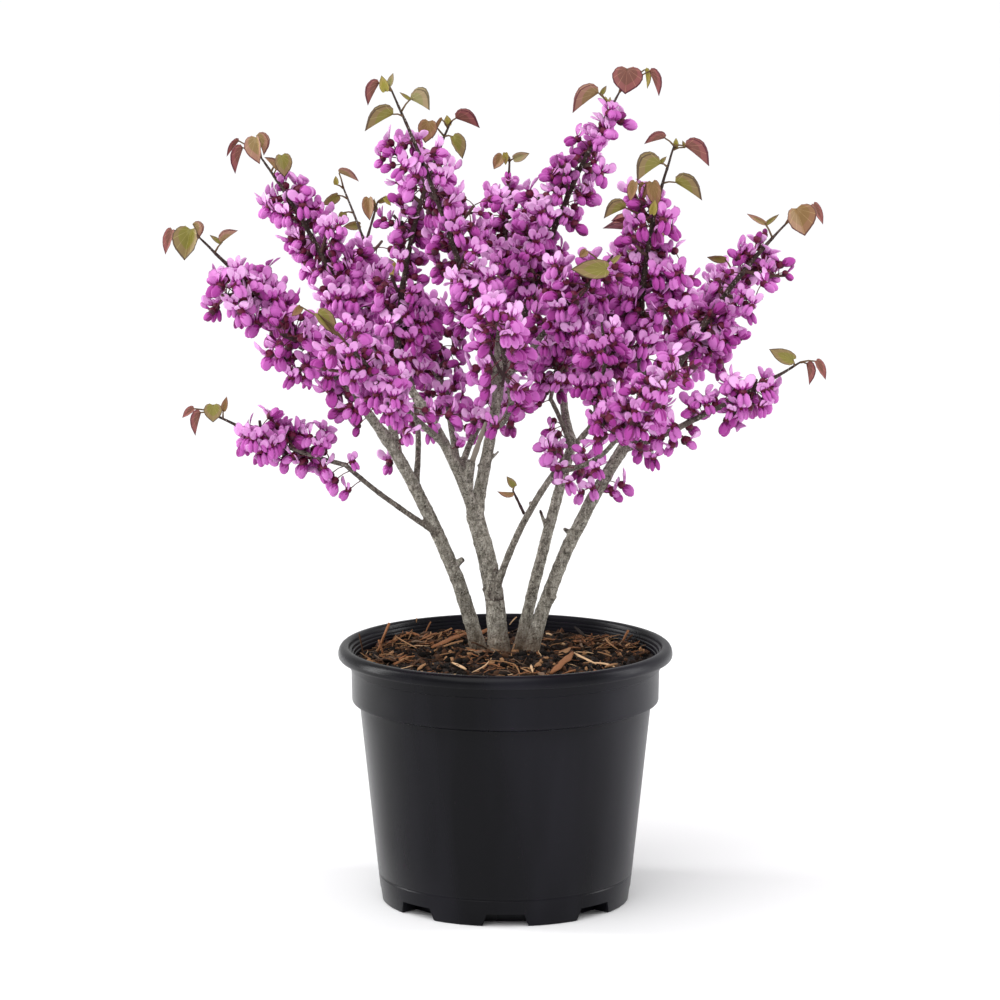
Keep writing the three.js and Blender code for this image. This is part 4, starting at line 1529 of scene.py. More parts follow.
class FlowerMaker:
    """Puts flowers of several kinds together from their parts."""

    LOBE_ROOT = np.array([2.4, 1.3, -1.5])
    EAR_ROOT = np.array([3.8, 0.9, 1.0])
    BANNER_ROOT = np.array([4.4, 0.0, 0.6])
    BANNER_SIZE = 0.64
    BUD_ROOT = np.array([1.8, 0.0, -0.4])
    BUD_STRETCH = np.array([0.66, 1.15, 0.66])

    def __init__(self) -> None:
        """Models the parts once."""
        forms = FlowerForms()
        self.lobe, self.cup, self.petal = forms.lobe(), forms.cup(), forms.petal()
        self.kinds = {bloom: self.flower(bloom) for bloom in Bloom}

    def flower(self, bloom: Bloom) -> Stamp:
        """One flower, with its stalk's end at the origin: it faces +X, its keel hangs below."""
        if bloom is Bloom.BUD:
            points = self.lobe.points * self.BUD_STRETCH + self.BUD_ROOT
            # The bud's keel keeps the painted shade on its faces that look down, one tone deeper.
            tones = np.where(self.lobe.slots == Petal.BLADE, Petal.FLANK, Petal.THROAT)
            return Stamp.merged([self.cup, Stamp(points, self.lobe.faces, tones)])
        pose = FLOWER_POSES[bloom]
        lean = math.radians(pose.lean)
        parts = [self.cup]
        for side in (-1, 1):
            turn = pitched(side * pose.splay, -pose.droop)
            parts.append(self.lobe.placed(turn, self.LOBE_ROOT * [1, side, 1], pose.size))
            out = math.radians(side * pose.spread)
            ear = [math.sin(lean), math.sin(out) * math.cos(lean), math.cos(out) * math.cos(lean)]
            turn = basis(np.array(ear), np.array([1.0, -0.35 * side, -0.1]))
            parts.append(self.petal.placed(turn, self.EAR_ROOT * [1, side, 1], pose.size))
        banner = basis(np.array([math.sin(lean + 0.1), 0, 1.0]), np.array([1.0, 0, -0.1]))
        parts.append(self.petal.placed(banner, self.BANNER_ROOT, pose.size * self.BANNER_SIZE))
        return Stamp.merged(parts)


@dataclass
class Blossoming:
    """The flowers of all masses, in bunches at the nodes of their spines and twigs."""

    skeleton: Skeleton
    maker: FlowerMaker
    node_spacing: float = 12.0
    fewest: int = 4
    most: int = 7
    stalk: Pair = (6.5, 11.5)
    stalk_radius: float = 0.42
    sizes: Pair = (0.86, 1.12)
    # How far a bunch's flowers stand off its axis, in degrees, and how much the last one adds.
    cone: Pair = (18, 78)
    # Each flower is tried so often, each time this much nearer the axis, smaller and shorter.
    tries: int = 3
    retry_turn: float = 12
    retry_size: float = 0.12
    retry_reach: float = 0.2
    # The shares of buds and of young flowers, and the draw up to which the rest is half open.
    buds: float = 0.08
    young: float = 0.12
    half_open: float = 0.62
    placed_seed: int = 5000
    # How far the blossom keeps from the bare stretches of a limb and of a spine.
    bare_margins: Pair = (1.0, 2.2)

    def __post_init__(self) -> None:
        """Lays out the stretches of wood that stay bare in front."""
        fronts = []
        for name, first, last in BARE_FRONTS:
            mass = self.skeleton.masses.get(name)
            limb = mass.spine if mass else self.skeleton.limbs[name]
            shares = np.linspace(first, last, max(2, round((last - first) * limb.length / 2.0)))
            points = limb.many(shares)
            margin = self.bare_margins[1 if mass else 0]
            width = np.array([limb.thickness(share) + margin for share in shares])
            fronts.append(np.column_stack([seen_from_front(points), points[:, 1], width]))
        self.fronts = np.vstack(fronts)

    def in_an_opening(self, points: Array) -> bool:
        """Says whether any of the points stands in an opening, or before wood that stays bare."""
        seen = seen_from_front(points)
        away = np.linalg.norm(seen[:, None, :] - self.fronts[None, :, :2], axis=2)
        before = points[:, 1, None] < self.fronts[None, :, 2]
        if ((away < self.fronts[None, :, 3]) & before).any():
            return True
        for opening in OPENINGS:
            away = np.hypot(seen[:, 0] - opening.x, seen[:, 1] - opening.z)
            if ((away < opening.radius) & (points[:, 1] < opening.back)).any():
                return True
        return False

    def placed(self, bearer: str, mass: Mass | None) -> Iterator[tuple[Stamp, Stamp]]:
        """The flowers and the stalks of the placed bunches on a mass's wood or on a limb."""
        for row, bunch in enumerate(PLACED_BUNCHES):
            if bunch.bearer != bearer:
                continue
            limb = self.skeleton.limbs.get(bearer)
            if mass:
                limb = mass.twigs[bunch.twig - 1].limb if bunch.twig else mass.spine
            way = unit(np.array(bunch.way))
            seed = self.placed_seed
            yield from self.bunch(mass, seed, row, limb, bunch.share, way, bunch.count)

    def nodes(self, seed: int, limb: Limb, first: float, last: float) -> Iterator[tuple]:
        """Where a limb's bunches sit, and which way each one points."""
        count = max(1, round((last - first) * limb.length / self.node_spacing))
        for i in range(count):
            share = between(first, last, (i + 0.5) / count)
            turn = i * GOLDEN_ANGLE + 360 * chance(seed, i, 3)
            out = turned_aside(limb.tangent(share), turn, 0.25, limb.chord)
            yield i, share, out

    def bunch(
        self,
        mass: Mass | None,
        seed: int,
        i: int,
        limb: Limb,
        share: float,
        out: Array,
        count: int | None = None,
    ) -> Iterator[tuple[Stamp, Stamp]]:
        """The flowers of one bunch that keep to their mass's space.

        Args:
            mass: The mass, or none on old wood.
            seed: The limb's seed.
            i: The node's number on the limb.
            limb: The limb that bears it.
            share: Where on the limb.
            out: The way that the bunch points.
            count: How many flowers, if it isn't left to the seed.

        Yields:
            Each flower and its stalk.
        """
        count = count or self.fewest + int((self.most - self.fewest + 1) * chance(seed, i, 20))
        tint = pick(range(len(TINTS)), chance(seed, i, 21))
        thick = limb.thickness(share)
        base = limb.at(share)
        a, b = cross_frame(out)
        for k in range(count):
            for attempt in range(self.tries):
                key = 40 + k * 4 + attempt
                angle = math.radians(k * GOLDEN_ANGLE + 80 * chance(seed, i, key))
                first, more = self.cone
                off_axis = first + more * math.sqrt((k + 0.4) / count) - self.retry_turn * attempt
                wide = math.radians(off_axis)
                round_it = a * math.cos(angle) + b * math.sin(angle)
                way = unit(out * math.cos(wide) + round_it * math.sin(wide) + 0.08 * UP)
                size = between(*self.sizes, chance(seed, i, key, 1))
                size *= 1 - self.retry_size * attempt
                reach = between(*self.stalk, chance(seed, i, key, 2))
                reach *= 1 - self.retry_reach * attempt
                start = base + way * thick * 0.7
                joint = start + way * reach - 0.05 * reach * UP
                jitter = np.array([chance(seed, i, key, n) - 0.5 for n in (3, 4, 5)])
                face = unit(way * [1, 1, 0.6] + jitter * 0.85 - 0.12 * UP)
                inside = joint + face * (np.array([0.0, 6.0, 12.0]) * size)[:, None]
                up = unit(UP + 0.9 * jitter[::-1])
                ears = joint + face * 3 + up * 11 * size
                if self.in_an_opening(np.vstack([inside, ears])):
                    continue
                if self.skeleton.takes(mass, inside, 0.0, 1.6):
                    break
            else:
                continue
            near_tip = share if mass and limb is mass.spine else 0.0
            kind = self.kind(chance(seed, i, key, 6), near_tip)
            flower = self.maker.kinds[kind].placed(basis(face, up), joint, size)
            slots = np.where(
                flower.slots < Petal.CUP,
                flower.slots + Petal.CUP * tint,
                flower.slots + Petal.CUP * (len(TINTS) - 1),
            )
            middle = (start + joint) / 2 + 0.06 * reach * UP
            route = np.stack([start, middle, joint + face * 0.8]) + RAISED
            radii = [self.stalk_radius * f for f in (1.15, 0.9, 1.2)]
            stalk = tube_stamp(route, radii, 3, Wood.FLOWER_STALK)
            yield Stamp(flower.points + RAISED, flower.faces, slots), stalk

    def kind(self, draw: float, height: float) -> Bloom:
        """How far a flower is open: more are young towards a shoot's tip."""
        if draw < self.buds + 0.5 * max(0.0, height - 0.72):
            return Bloom.BUD
        if draw < self.buds + (self.young + 0.3 * max(0.0, height - 0.6)):
            return Bloom.YOUNG
        return Bloom.OPEN if draw < self.half_open else Bloom.WIDE

    def of_mass(self, mass: Mass) -> Iterator[tuple[Stamp, Stamp]]:
        """All flowers of a mass with their stalks: the seeded bunches, then the placed ones."""
        for seed, limb, first, last in mass.bearers():
            for i, share, out in self.nodes(seed, limb, first, last):
                yield from self.bunch(mass, seed, i, limb, share, out)
        yield from self.placed(mass.name, mass)

    def build(self, stalks: JoinedMesh) -> None:
        """Builds the flowers of every spray, and adds their stalks to the joined stalks."""
        finishes = [finish for tint in TINTS for finish in tint.finishes()] + list(CUP_FINISHES)
        for name, masses in SPRAYS.items():
            joined = JoinedMesh(name, finishes)
            for mass_name in masses:
                joined.add_pairs(self.of_mass(self.skeleton.masses[mass_name]), stalks)
            LOG.info("%s: %d flowers", name, len(joined.stamps))
            finish_piece(joined.build(), "blossom", *masses)
        joined = JoinedMesh("flowers_on_old_wood", finishes)
        for limb_name in self.skeleton.limbs:
            joined.add_pairs(self.placed(limb_name, None), stalks)
        finish_piece(joined.build(), "blossom")


# ---------------------------------------------------------------- twigs and leaves


@dataclass
class TwigWork:
    """The spines and twigs that go on from the boughs, with a spur at each bunch of flowers."""

    skeleton: Skeleton
    blossoming: Blossoming
    ring_step: float = 2.2
    wander: float = 0.3
    node_spacing: float = 12.0
    twig_step: float = 3.0
    spur: float = 1.5
    spur_radii: tuple[float, ...] = (1.15, 0.95, 0.45)
    shoot_swells: tuple[float, ...] = (1.1, 0.95, 1.05, 0.8, 0.95, 0.7, 0.6)
    thick_shoot: float = 1.5

    def wood_radii(self, limb: Limb, shares: Array, seed: int, bare: float = 1.0) -> list[float]:
        """The radius at each share, swollen at the nodes, and slimmer where the wood is bare."""
        radii = []
        for i, share in enumerate(shares):
            s = share * limb.length
            ring = math.exp(-((((s / self.node_spacing) % 1.0) - 0.5) ** 2) / 0.012)
            ragged = 0.08 * (chance(seed, i, 70) - 0.5)
            slim = 1 - 0.42 * clamped((share - bare) / max(1 - bare, 0.01))
            radii.append(limb.thickness(share) * (1 + 0.16 * ring + ragged) * slim)
        return radii

    def upper_boughs(self, bark: Material) -> Piece:
        """The spines, joined, in young bark."""
        bars = []
        for mass in self.skeleton.masses.values():
            spine = mass.spine
            shares = np.linspace(-0.02, 1, max(12, round(spine.length / self.ring_step)))
            u, v = cross_frame(spine.chord)
            route = spine.many(shares) + RAISED
            for i, share in enumerate(shares):
                drift = Vector((share * spine.length / 11.0, mass.index * 3.7, 0.0))
                ease = self.wander * clamped(share * 6)
                route[i] += u * noise.noise(drift) * ease + v * noise.noise(drift.yxz) * ease
            bare = 1 - 1.4 * BARE_TIPS.get(mass.name, BARE_TIP)
            bars.append(tube(route, self.wood_radii(spine, shares, mass.index + 500, bare), 10))
        piece = join(bars)
        settle(piece, "upper_boughs")
        youth = piece.data.attributes.new("youth", "FLOAT", "POINT")
        reach = np.linalg.norm(points_of(piece) / MM - RAISED, axis=1)
        youth.data.foreach_set("value", np.clip((reach - 120) / 130, 0.5, 1.0).astype(np.float32))
        coat(piece, bark)
        return finish_piece(piece, "bark")

    def twigs(self) -> Piece:
        """The side twigs and the spurs, joined."""
        joined = JoinedMesh("twigs", WOOD_FINISHES)
        for mass in self.skeleton.masses.values():
            for twig in mass.twigs:
                limb = twig.limb
                shares = np.linspace(0, 1, max(5, round(limb.length / self.twig_step)))
                radii = self.wood_radii(limb, shares, twig.seed)
                tone = Wood.TWIG_SHADE if chance(twig.seed, 9) < 0.5 else Wood.TWIG
                joined.add(tube_stamp(limb.many(shares) + RAISED, radii, 6, tone))
            for seed, limb, first, last in mass.bearers():
                for i, share, out in self.blossoming.nodes(seed, limb, first, last):
                    base = limb.at(share) + RAISED
                    shares = np.array([0.2, 0.75, 1.0])[:, None]
                    route = base + out * shares * (limb.thickness(share) + self.spur)
                    joined.add(tube_stamp(route, self.spur_radii, 5, Wood.TWIG_SHADE))
        for start, tip, thick in SHOOTS.values():
            route = np.linspace(start, tip, len(self.shoot_swells)) + RAISED
            radii = [thick * swell for swell in self.shoot_swells]
            tone = Wood.SHOOT if thick > self.thick_shoot else Wood.TWIG_SHADE
            joined.add(tube_stamp(route, radii, 6, tone))
        return finish_piece(joined.build(), "bark")


@dataclass
class LeafForms:
    """A heart-shaped leaf with a keeled midrib, made large as arrays."""

    half_outline: tuple[Pair, ...] = (
        (-0.045, 0.09), (-0.085, 0.21), (-0.05, 0.35), (0.06, 0.465), (0.22, 0.53),
        (0.4, 0.525), (0.56, 0.455), (0.71, 0.34), (0.85, 0.185), (0.94, 0.075),
    )
    vein_rows: tuple[int, ...] = (1, 3, 5, 7)
    vein_half: float = 0.009
    rings: tuple[float, ...] = (0.34, 0.66, 0.93, 1.0)
    thickness: float = 0.3

    def outline(self) -> tuple[Array, list[bool]]:
        """The outline from the base round to the base, and which of its steps are a vein's."""
        right: list[Pair] = []
        marks: list[bool] = []
        for row, (x, y) in enumerate(self.half_outline):
            if row in self.vein_rows:
                along = unit(np.array([x, y]))
                aside = np.array([along[1], -along[0]]) * self.vein_half
                right += [(x - aside[0], y - aside[1]), (x + aside[0], y + aside[1])]
                marks += [True, False]
            else:
                right.append((x, y))
                marks.append(False)
        tip = [(1.0, self.vein_half), (1.0, -self.vein_half)]
        left = [(x, -y) for x, y in reversed(right)]
        back = list(reversed(marks[:-1])) + [False]
        return np.array(right + tip + left), marks + [True, False] + back

    def blade(self, fold: float, curl: float) -> Stamp:
        """One leaf of length one along +X, its upper side to +Z.

        Args:
            fold: How steeply its halves rise from the midrib, in degrees.
            curl: How far its tip and base bend down.

        Returns:
            The stamp, with slots 0 near the midrib, 1 towards the edge, 2 on the veins and 3 at
            the rim.
        """
        rim, veins = self.outline()
        count = len(rim)
        flat = [np.zeros((1, 2))] + [rim * r for r in self.rings]
        plan = np.concatenate(flat)
        angle, along, aside = math.radians(fold), plan[:, 0], np.abs(plan[:, 1])
        wave = 0.03 * np.sin(along * 19) * aside - 0.16 * aside**2
        out = aside * math.cos(angle) - wave * math.sin(angle)
        rise = aside * math.sin(angle) + wave * math.cos(angle) + curl * along * (1 - along)
        upper = np.column_stack([along, out * np.sign(plan[:, 1]), rise])
        lower = upper - [0, 0, self.thickness / 24]
        faces, slots = [], []
        for j in range(count - 1):
            tone = 2 if veins[j] else 0
            faces.append((0, 1 + j + 1, 1 + j))
            slots.append(tone)
            for ring in range(len(self.rings) - 1):
                low, high = 1 + ring * count, 1 + (ring + 1) * count
                faces += [(low + j, low + j + 1, high + j + 1), (low + j, high + j + 1, high + j)]
                shade = 3 if ring == 2 else 1 if tone == 0 and ring == 1 else tone
                slots += [shade, shade]
        top = np.array(faces)
        normals = np.cross(upper[top[:, 1]] - upper[top[:, 0]], upper[top[:, 2]] - upper[top[:, 0]])
        top[normals[:, 2] < 0] = top[normals[:, 2] < 0][:, ::-1]
        size = len(upper)
        under = top[:, ::-1] + size
        edge, last = [], 1 + (len(self.rings) - 1) * count
        path = [0, *(1 + r * count for r in range(len(self.rings)))]
        path += [last + j for j in range(1, count)]
        path += [1 + r * count + count - 1 for r in range(len(self.rings) - 2, -1, -1)]
        for a, b in zip(path, path[1:] + path[:1]):
            edge += [(a, b, b + size), (a, b + size, a + size)]
        rim_faces = np.array(edge)
        points = np.concatenate([upper, lower])
        whole = np.concatenate([top, under, rim_faces])
        tones = slots + slots + [3] * len(edge)
        return Stamp(points, whole, np.array(tones, int))


@dataclass(frozen=True)
class LeafPlace:
    """One leaf: where its stalk ends, its length, the way it points and faces, and its form."""

    x: float
    y: float
    z: float
    length: float
    heading: float
    facing: float
    fold: float
    wide: float
    tint: Foliage


# Short leafy shoots: where each one starts and ends, and its radius.
SHOOTS: dict[str, tuple[Point, Point, float]] = {
    "blossom_far_left": ((-98, 140, 259), (-89, 158, 290), 1.0),
    "side_spur": ((12.5, -20, 100), (5, -22, 116), 1.0),
    "stump_shoot": ((-22.6, -8, 132), (-13, -9, 160), 1.9),
}
# The leaves that have a place of their own, by the mass or the shoot that bears them.
OLIVE, BRONZE, RED, LIME, PINK, PALE = Foliage
LEAF_TABLE: dict[str, tuple[LeafPlace, ...]] = {
    bearer: tuple(LeafPlace(*row) for row in rows)
    for bearer, rows in {
        "blossom_left": (
            (-216, -64, 294, 16.4, 253, -40, 35, 0.55, RED),
            (-204, -68, 295, 20.5, 258, -20, 41, 1.00, OLIVE),
            (-203, -60, 298, 10.9, 287, 82, 74, 1.07, PINK),
            (-185, -56, 285, 9.2, 145, 0, 25, 0.35, OLIVE),
            (-184, -60, 286, 12.7, 36, 82, 74, 0.84, PINK),
        ),
        "blossom_upper_left": (
            (-179, 52, 342, 13.6, 232, -82, 74, 0.52, RED),
            (-176, 46, 338, 18.4, 253, -82, 74, 0.70, RED),
            (-167, 44, 345, 17.9, 277, -35, 40, 0.91, PINK),
            (-167, 50, 346, 14.4, 289, 82, 74, 0.96, PINK),
            (-154, 46, 323, 11.7, 132, -82, 74, 0.84, BRONZE),
            (-150, 44, 333, 14.9, 277, 25, 20, 0.82, OLIVE),
        ),
        "blossom_low_left": (
            (-205, -42, 174, 9.8, 219, -38, 35, 0.62, RED),
            (-200, -46, 172, 15.9, 256, -82, 74, 0.71, RED),
            (-192, -46, 177, 11.6, 269, 0, 15, 1.00, OLIVE),
            (-186, -36, 172, 9.6, 75, 0, 25, 0.46, BRONZE),
        ),
        "blossom_back_left": (
            (-114, 112, 315, 14.9, 336, 82, 74, 0.63, PINK),
            (-116, 112, 307, 5.9, 93, 0, 25, 0.63, LIME),
            (-115, 108, 300, 12.6, 211, 30, 25, 0.67, OLIVE),
            (-111, 108, 288, 7.7, 259, 0, 25, 0.78, OLIVE),
            (-100, 112, 279, 11.5, 185, 0, 25, 0.55, OLIVE),
        ),
        "blossom_far_left": (
            (-95, 158, 293, 15.6, 272, -25, 25, 0.61, BRONZE),
            (-89, 160, 284, 9.1, 105, 40, 40, 0.65, OLIVE),
            (-88, 158, 291, 11.4, 27, -40, 30, 0.47, OLIVE),
            (-84, 156, 294, 7.7, 306, 0, 30, 0.51, LIME),
            (-84, 130, 251, 15.2, 317, 20, 25, 0.69, LIME),
        ),
        "blossom_top_left": (
            (-82, -44, 388, 16.5, 243, -82, 74, 0.77, RED),
            (-78, -46, 383, 10.4, 104, 0, 25, 0.60, LIME),
            (-76, -40, 386, 8.8, 70, 0, 25, 0.46, PALE),
            (-73, -48, 368, 21.5, 211, -82, 74, 0.85, OLIVE),
            (-62, -38, 377, 14.5, 330, 82, 74, 1.41, PALE),
            (-62, -40, 377, 8.5, 146, 0, 25, 0.30, OLIVE),
        ),
        "blossom_inner_left": (
            (-51, 18, 358, 14.6, 261, 0, 20, 0.86, BRONZE),
            (-42, 20, 359, 14.4, 243, -82, 74, 0.35, BRONZE),
            (-38, 22, 355, 7.0, 98, 0, 25, 0.75, LIME),
            (-33, 18, 360, 17.2, 338, 82, 74, 0.93, RED),
            (-35, 16, 348, 16.1, 294, 38, 38, 0.78, OLIVE),
        ),
        "blossom_centre_back": (
            (-2, 98, 328, 11.0, 238, -25, 25, 0.77, BRONZE),
            (0, 96, 330, 8.3, 272, 0, 25, 0.52, LIME), (6, 98, 326, 11.2, 19, 0, 20, 0.57, PALE),
        ),
        "blossom_top": (
            (81, 32, 392, 17.1, 266, 12, 20, 1.20, RED),
            (93, 36, 391, 13.0, 277, 82, 74, 0.54, LIME),
            (96, 34, 390, 17.8, 291, 82, 74, 0.64, RED),
            (62, 30, 376, 21.8, 218, -82, 74, 0.90, PINK),
            (64, 34, 375, 6.5, 58, 0, 25, 0.51, OLIVE), (68, 32, 368, 5.8, 103, 0, 25, 0.45, LIME),
            (69, 32, 368, 5.4, 80, 0, 25, 0.49, PALE),
        ),
        "blossom_right_top": (
            (103, -66, 354, 14.0, 196, -82, 74, 0.76, RED),
            (110, -64, 348, 6.1, 88, 0, 25, 0.59, LIME),
            (116, -68, 349, 20.3, 320, 82, 74, 0.88, RED),
            (116, -66, 348, 4.9, 111, 0, 25, 0.50, OLIVE),
            (100, -70, 338, 18.9, 217, -82, 74, 1.20, OLIVE),
            (100, -66, 338, 5.9, 46, 0, 25, 0.50, OLIVE),
            (110, -62, 325, 21.0, 326, 82, 74, 0.86, OLIVE),
            (84, -60, 325, 13.6, 256, -30, 30, 0.56, BRONZE),
            (90, -56, 324, 11.4, 265, 0, 25, 0.64, BRONZE),
            (95, -62, 325, 17.5, 281, 0, 20, 0.54, BRONZE),
            (95, -66, 305, 9.9, 79, 0, 30, 0.57, LIME),
            (78, -58, 308, 15.8, 206, -82, 74, 1.00, OLIVE),
        ),
        "blossom_right": (
            (174, 38, 288, 13.8, 152, 0, 30, 0.30, PINK),
            (175, 42, 287, 11.2, 37, 0, 30, 0.30, OLIVE),
            (195, 36, 298, 19.2, 288, 26, 26, 1.17, BRONZE),
            (207, 44, 300, 15.0, 296, 35, 30, 0.46, RED),
        ),
        "blossom_low_right": (
            (188, -54, 208, 17.2, 156, 8, 15, 0.55, OLIVE),
            (197, -50, 205, 14.3, 278, 82, 74, 0.75, RED),
            (203, -54, 207, 13.8, 298, 40, 35, 0.56, RED),
        ),
        "blossom_front_left": (
            (-119, -146, 250, 18.9, 310, 38, 38, 0.69, OLIVE),
            (-130, -142, 254, 8.6, 228, 30, 25, 0.70, BRONZE),
        ),
        "blossom_centre_right": (
            (65, -90, 272, 23.0, 181, 0, 15, 0.54, OLIVE),
            (52, -84, 283, 6.4, 225, 0, 25, 0.84, BRONZE),
            (69, -88, 276, 7.8, 42, 20, 25, 0.47, OLIVE),
        ),
        "blossom_far_right": (
            (152, 126, 254, 12.7, 174, 30, 25, 0.52, OLIVE),
        ),
        "side_spur": (
            (6, -22, 119, 8.5, 128, 0, 25, 0.6, OLIVE),
            (5, -22, 115, 10.5, 177, 82, 74, 0.7, BRONZE),
        ),
        "blossom_front": (), "blossom_front_right": (), "blossom_low_centre": (),
        "blossom_inner_right": (),
    }.items()
}


@dataclass
class LeafWork:
    """The young leaves at the shoots' tips, on their stalks."""

    skeleton: Skeleton
    length: float = 24.0
    petiole: float = 11.0
    curl: float = 0.08
    per_tip: int = 3
    folds: tuple[float, ...] = (15, 35, 74)
    forms: LeafForms = field(default_factory=LeafForms)

    def __post_init__(self) -> None:
        """Starts with no blade made."""
        self.blades: dict[float, Stamp] = {}
        self.tints = list(Foliage)

    def leaf(
        self,
        joint: Array,
        way: Array,
        up: Array,
        length: float,
        fold: float,
        tint: Foliage,
        wide: float = 1.0,
    ) -> Stamp:
        """One leaf blade, in the row frame.

        Args:
            joint: Where its stalk ends.
            way: The way its tip points.
            up: The way its upper side faces.
            length: Its length in millimetres.
            fold: How steeply its halves rise, in degrees.
            tint: Its colour.
            wide: Its width as a share of the usual one.

        Returns:
            The stamp.
        """
        if fold not in self.blades:
            self.blades[fold] = self.forms.blade(fold, self.curl)
        blade = self.blades[fold]
        shaped = Stamp(blade.points * [1.0, wide, wide], blade.faces, blade.slots)
        placed = shaped.placed(basis(way, up), joint + RAISED, length)
        return Stamp(placed.points, placed.faces, placed.slots + 4 * self.tints.index(tint))

    def stalk(self, start: Array, end: Array) -> Stamp:
        """A leaf's stalk, slightly bowed."""
        middle = (start + end) / 2 + 0.08 * float(np.linalg.norm(end - start)) * UP
        route = np.stack([start, middle, end]) + RAISED
        return tube_stamp(route, [0.8, 0.58, 0.52], 5, Wood.LEAF_STALK)

    def by_rule(self, mass: Mass) -> Iterator[tuple[Stamp, Stamp]]:
        """The leaves of a mass's tip as the seeded rule deals them."""
        for i in range(self.per_tip + 1):
            share = between(1 - BARE_TIP, 0.985, i / self.per_tip)
            along = mass.spine.tangent(share)
            turn = i * GOLDEN_ANGLE + 360 * chance(mass.index, i, 5)
            out = turned_aside(along, turn, 0.7)
            size = between(0.75, 1.1, chance(mass.index, i, 6))
            start = mass.spine.at(share)
            joint = start + out * self.petiole * size * 0.7
            way = unit(out - 0.9 * UP)
            tip = joint + way * self.length * size
            if not self.skeleton.takes(mass, np.stack([joint, tip]), 0.0, 1.0):
                continue
            tint = pick((OLIVE, RED, BRONZE), chance(mass.index, i, 7))
            fold = pick(self.folds, chance(mass.index, i, 8))
            leaf = self.leaf(joint, way, UP + 0.4 * out, self.length * size, fold, tint)
            yield leaf, self.stalk(start, joint)

    def by_table(self, name: str) -> Iterator[tuple[Stamp, Stamp]]:
        """The leaves of a mass or a shoot that have a place of their own."""
        if name in SHOOTS:
            reach = np.linspace(*SHOOTS[name][:2], 12)
        else:
            reach = self.skeleton.masses[name].spine.many(np.linspace(0.6, 1.0, 24))
        for place in LEAF_TABLE[name]:
            joint = np.array([place.x, place.y, place.z])
            heading, facing = math.radians(place.heading), math.radians(place.facing)
            way = np.array([math.cos(heading), 0.0, math.sin(heading)])
            across = np.array([-math.sin(heading), 0.0, math.cos(heading)])
            up = np.array([0.0, -math.cos(facing), 0.0]) + across * math.sin(facing)
            gap = np.linalg.norm(reach - joint, axis=1).min()
            start = reach[np.linalg.norm(reach - joint + 0.5 * gap * UP, axis=1).argmin()]
            leaf = self.leaf(joint, way, up, place.length, place.fold, place.tint, place.wide)
            yield leaf, self.stalk(start, joint)

    def build(self, stalks: JoinedMesh) -> Piece:
        """Builds all leaves as one piece, and adds their stalks to the joined stalks."""
        finishes = [
            PlainFinish(f"leaf_{tint.value}_{part}", colour, 0.5, 0.4)
            for tint in self.tints
            for part, colour in zip(("blade", "edge", "vein", "rim"), LEAF_COLOURS[tint])
        ]
        joined = JoinedMesh("leaves", finishes)
        for name in LEAF_TABLE:
            joined.add_pairs(self.by_table(name), stalks)
        for mass in self.skeleton.masses.values():
            if mass.name not in LEAF_TABLE:
                joined.add_pairs(self.by_rule(mass), stalks)
        return finish_piece(joined.build(), "blossom")


# ---------------------------------------------------------------- pot and mulch


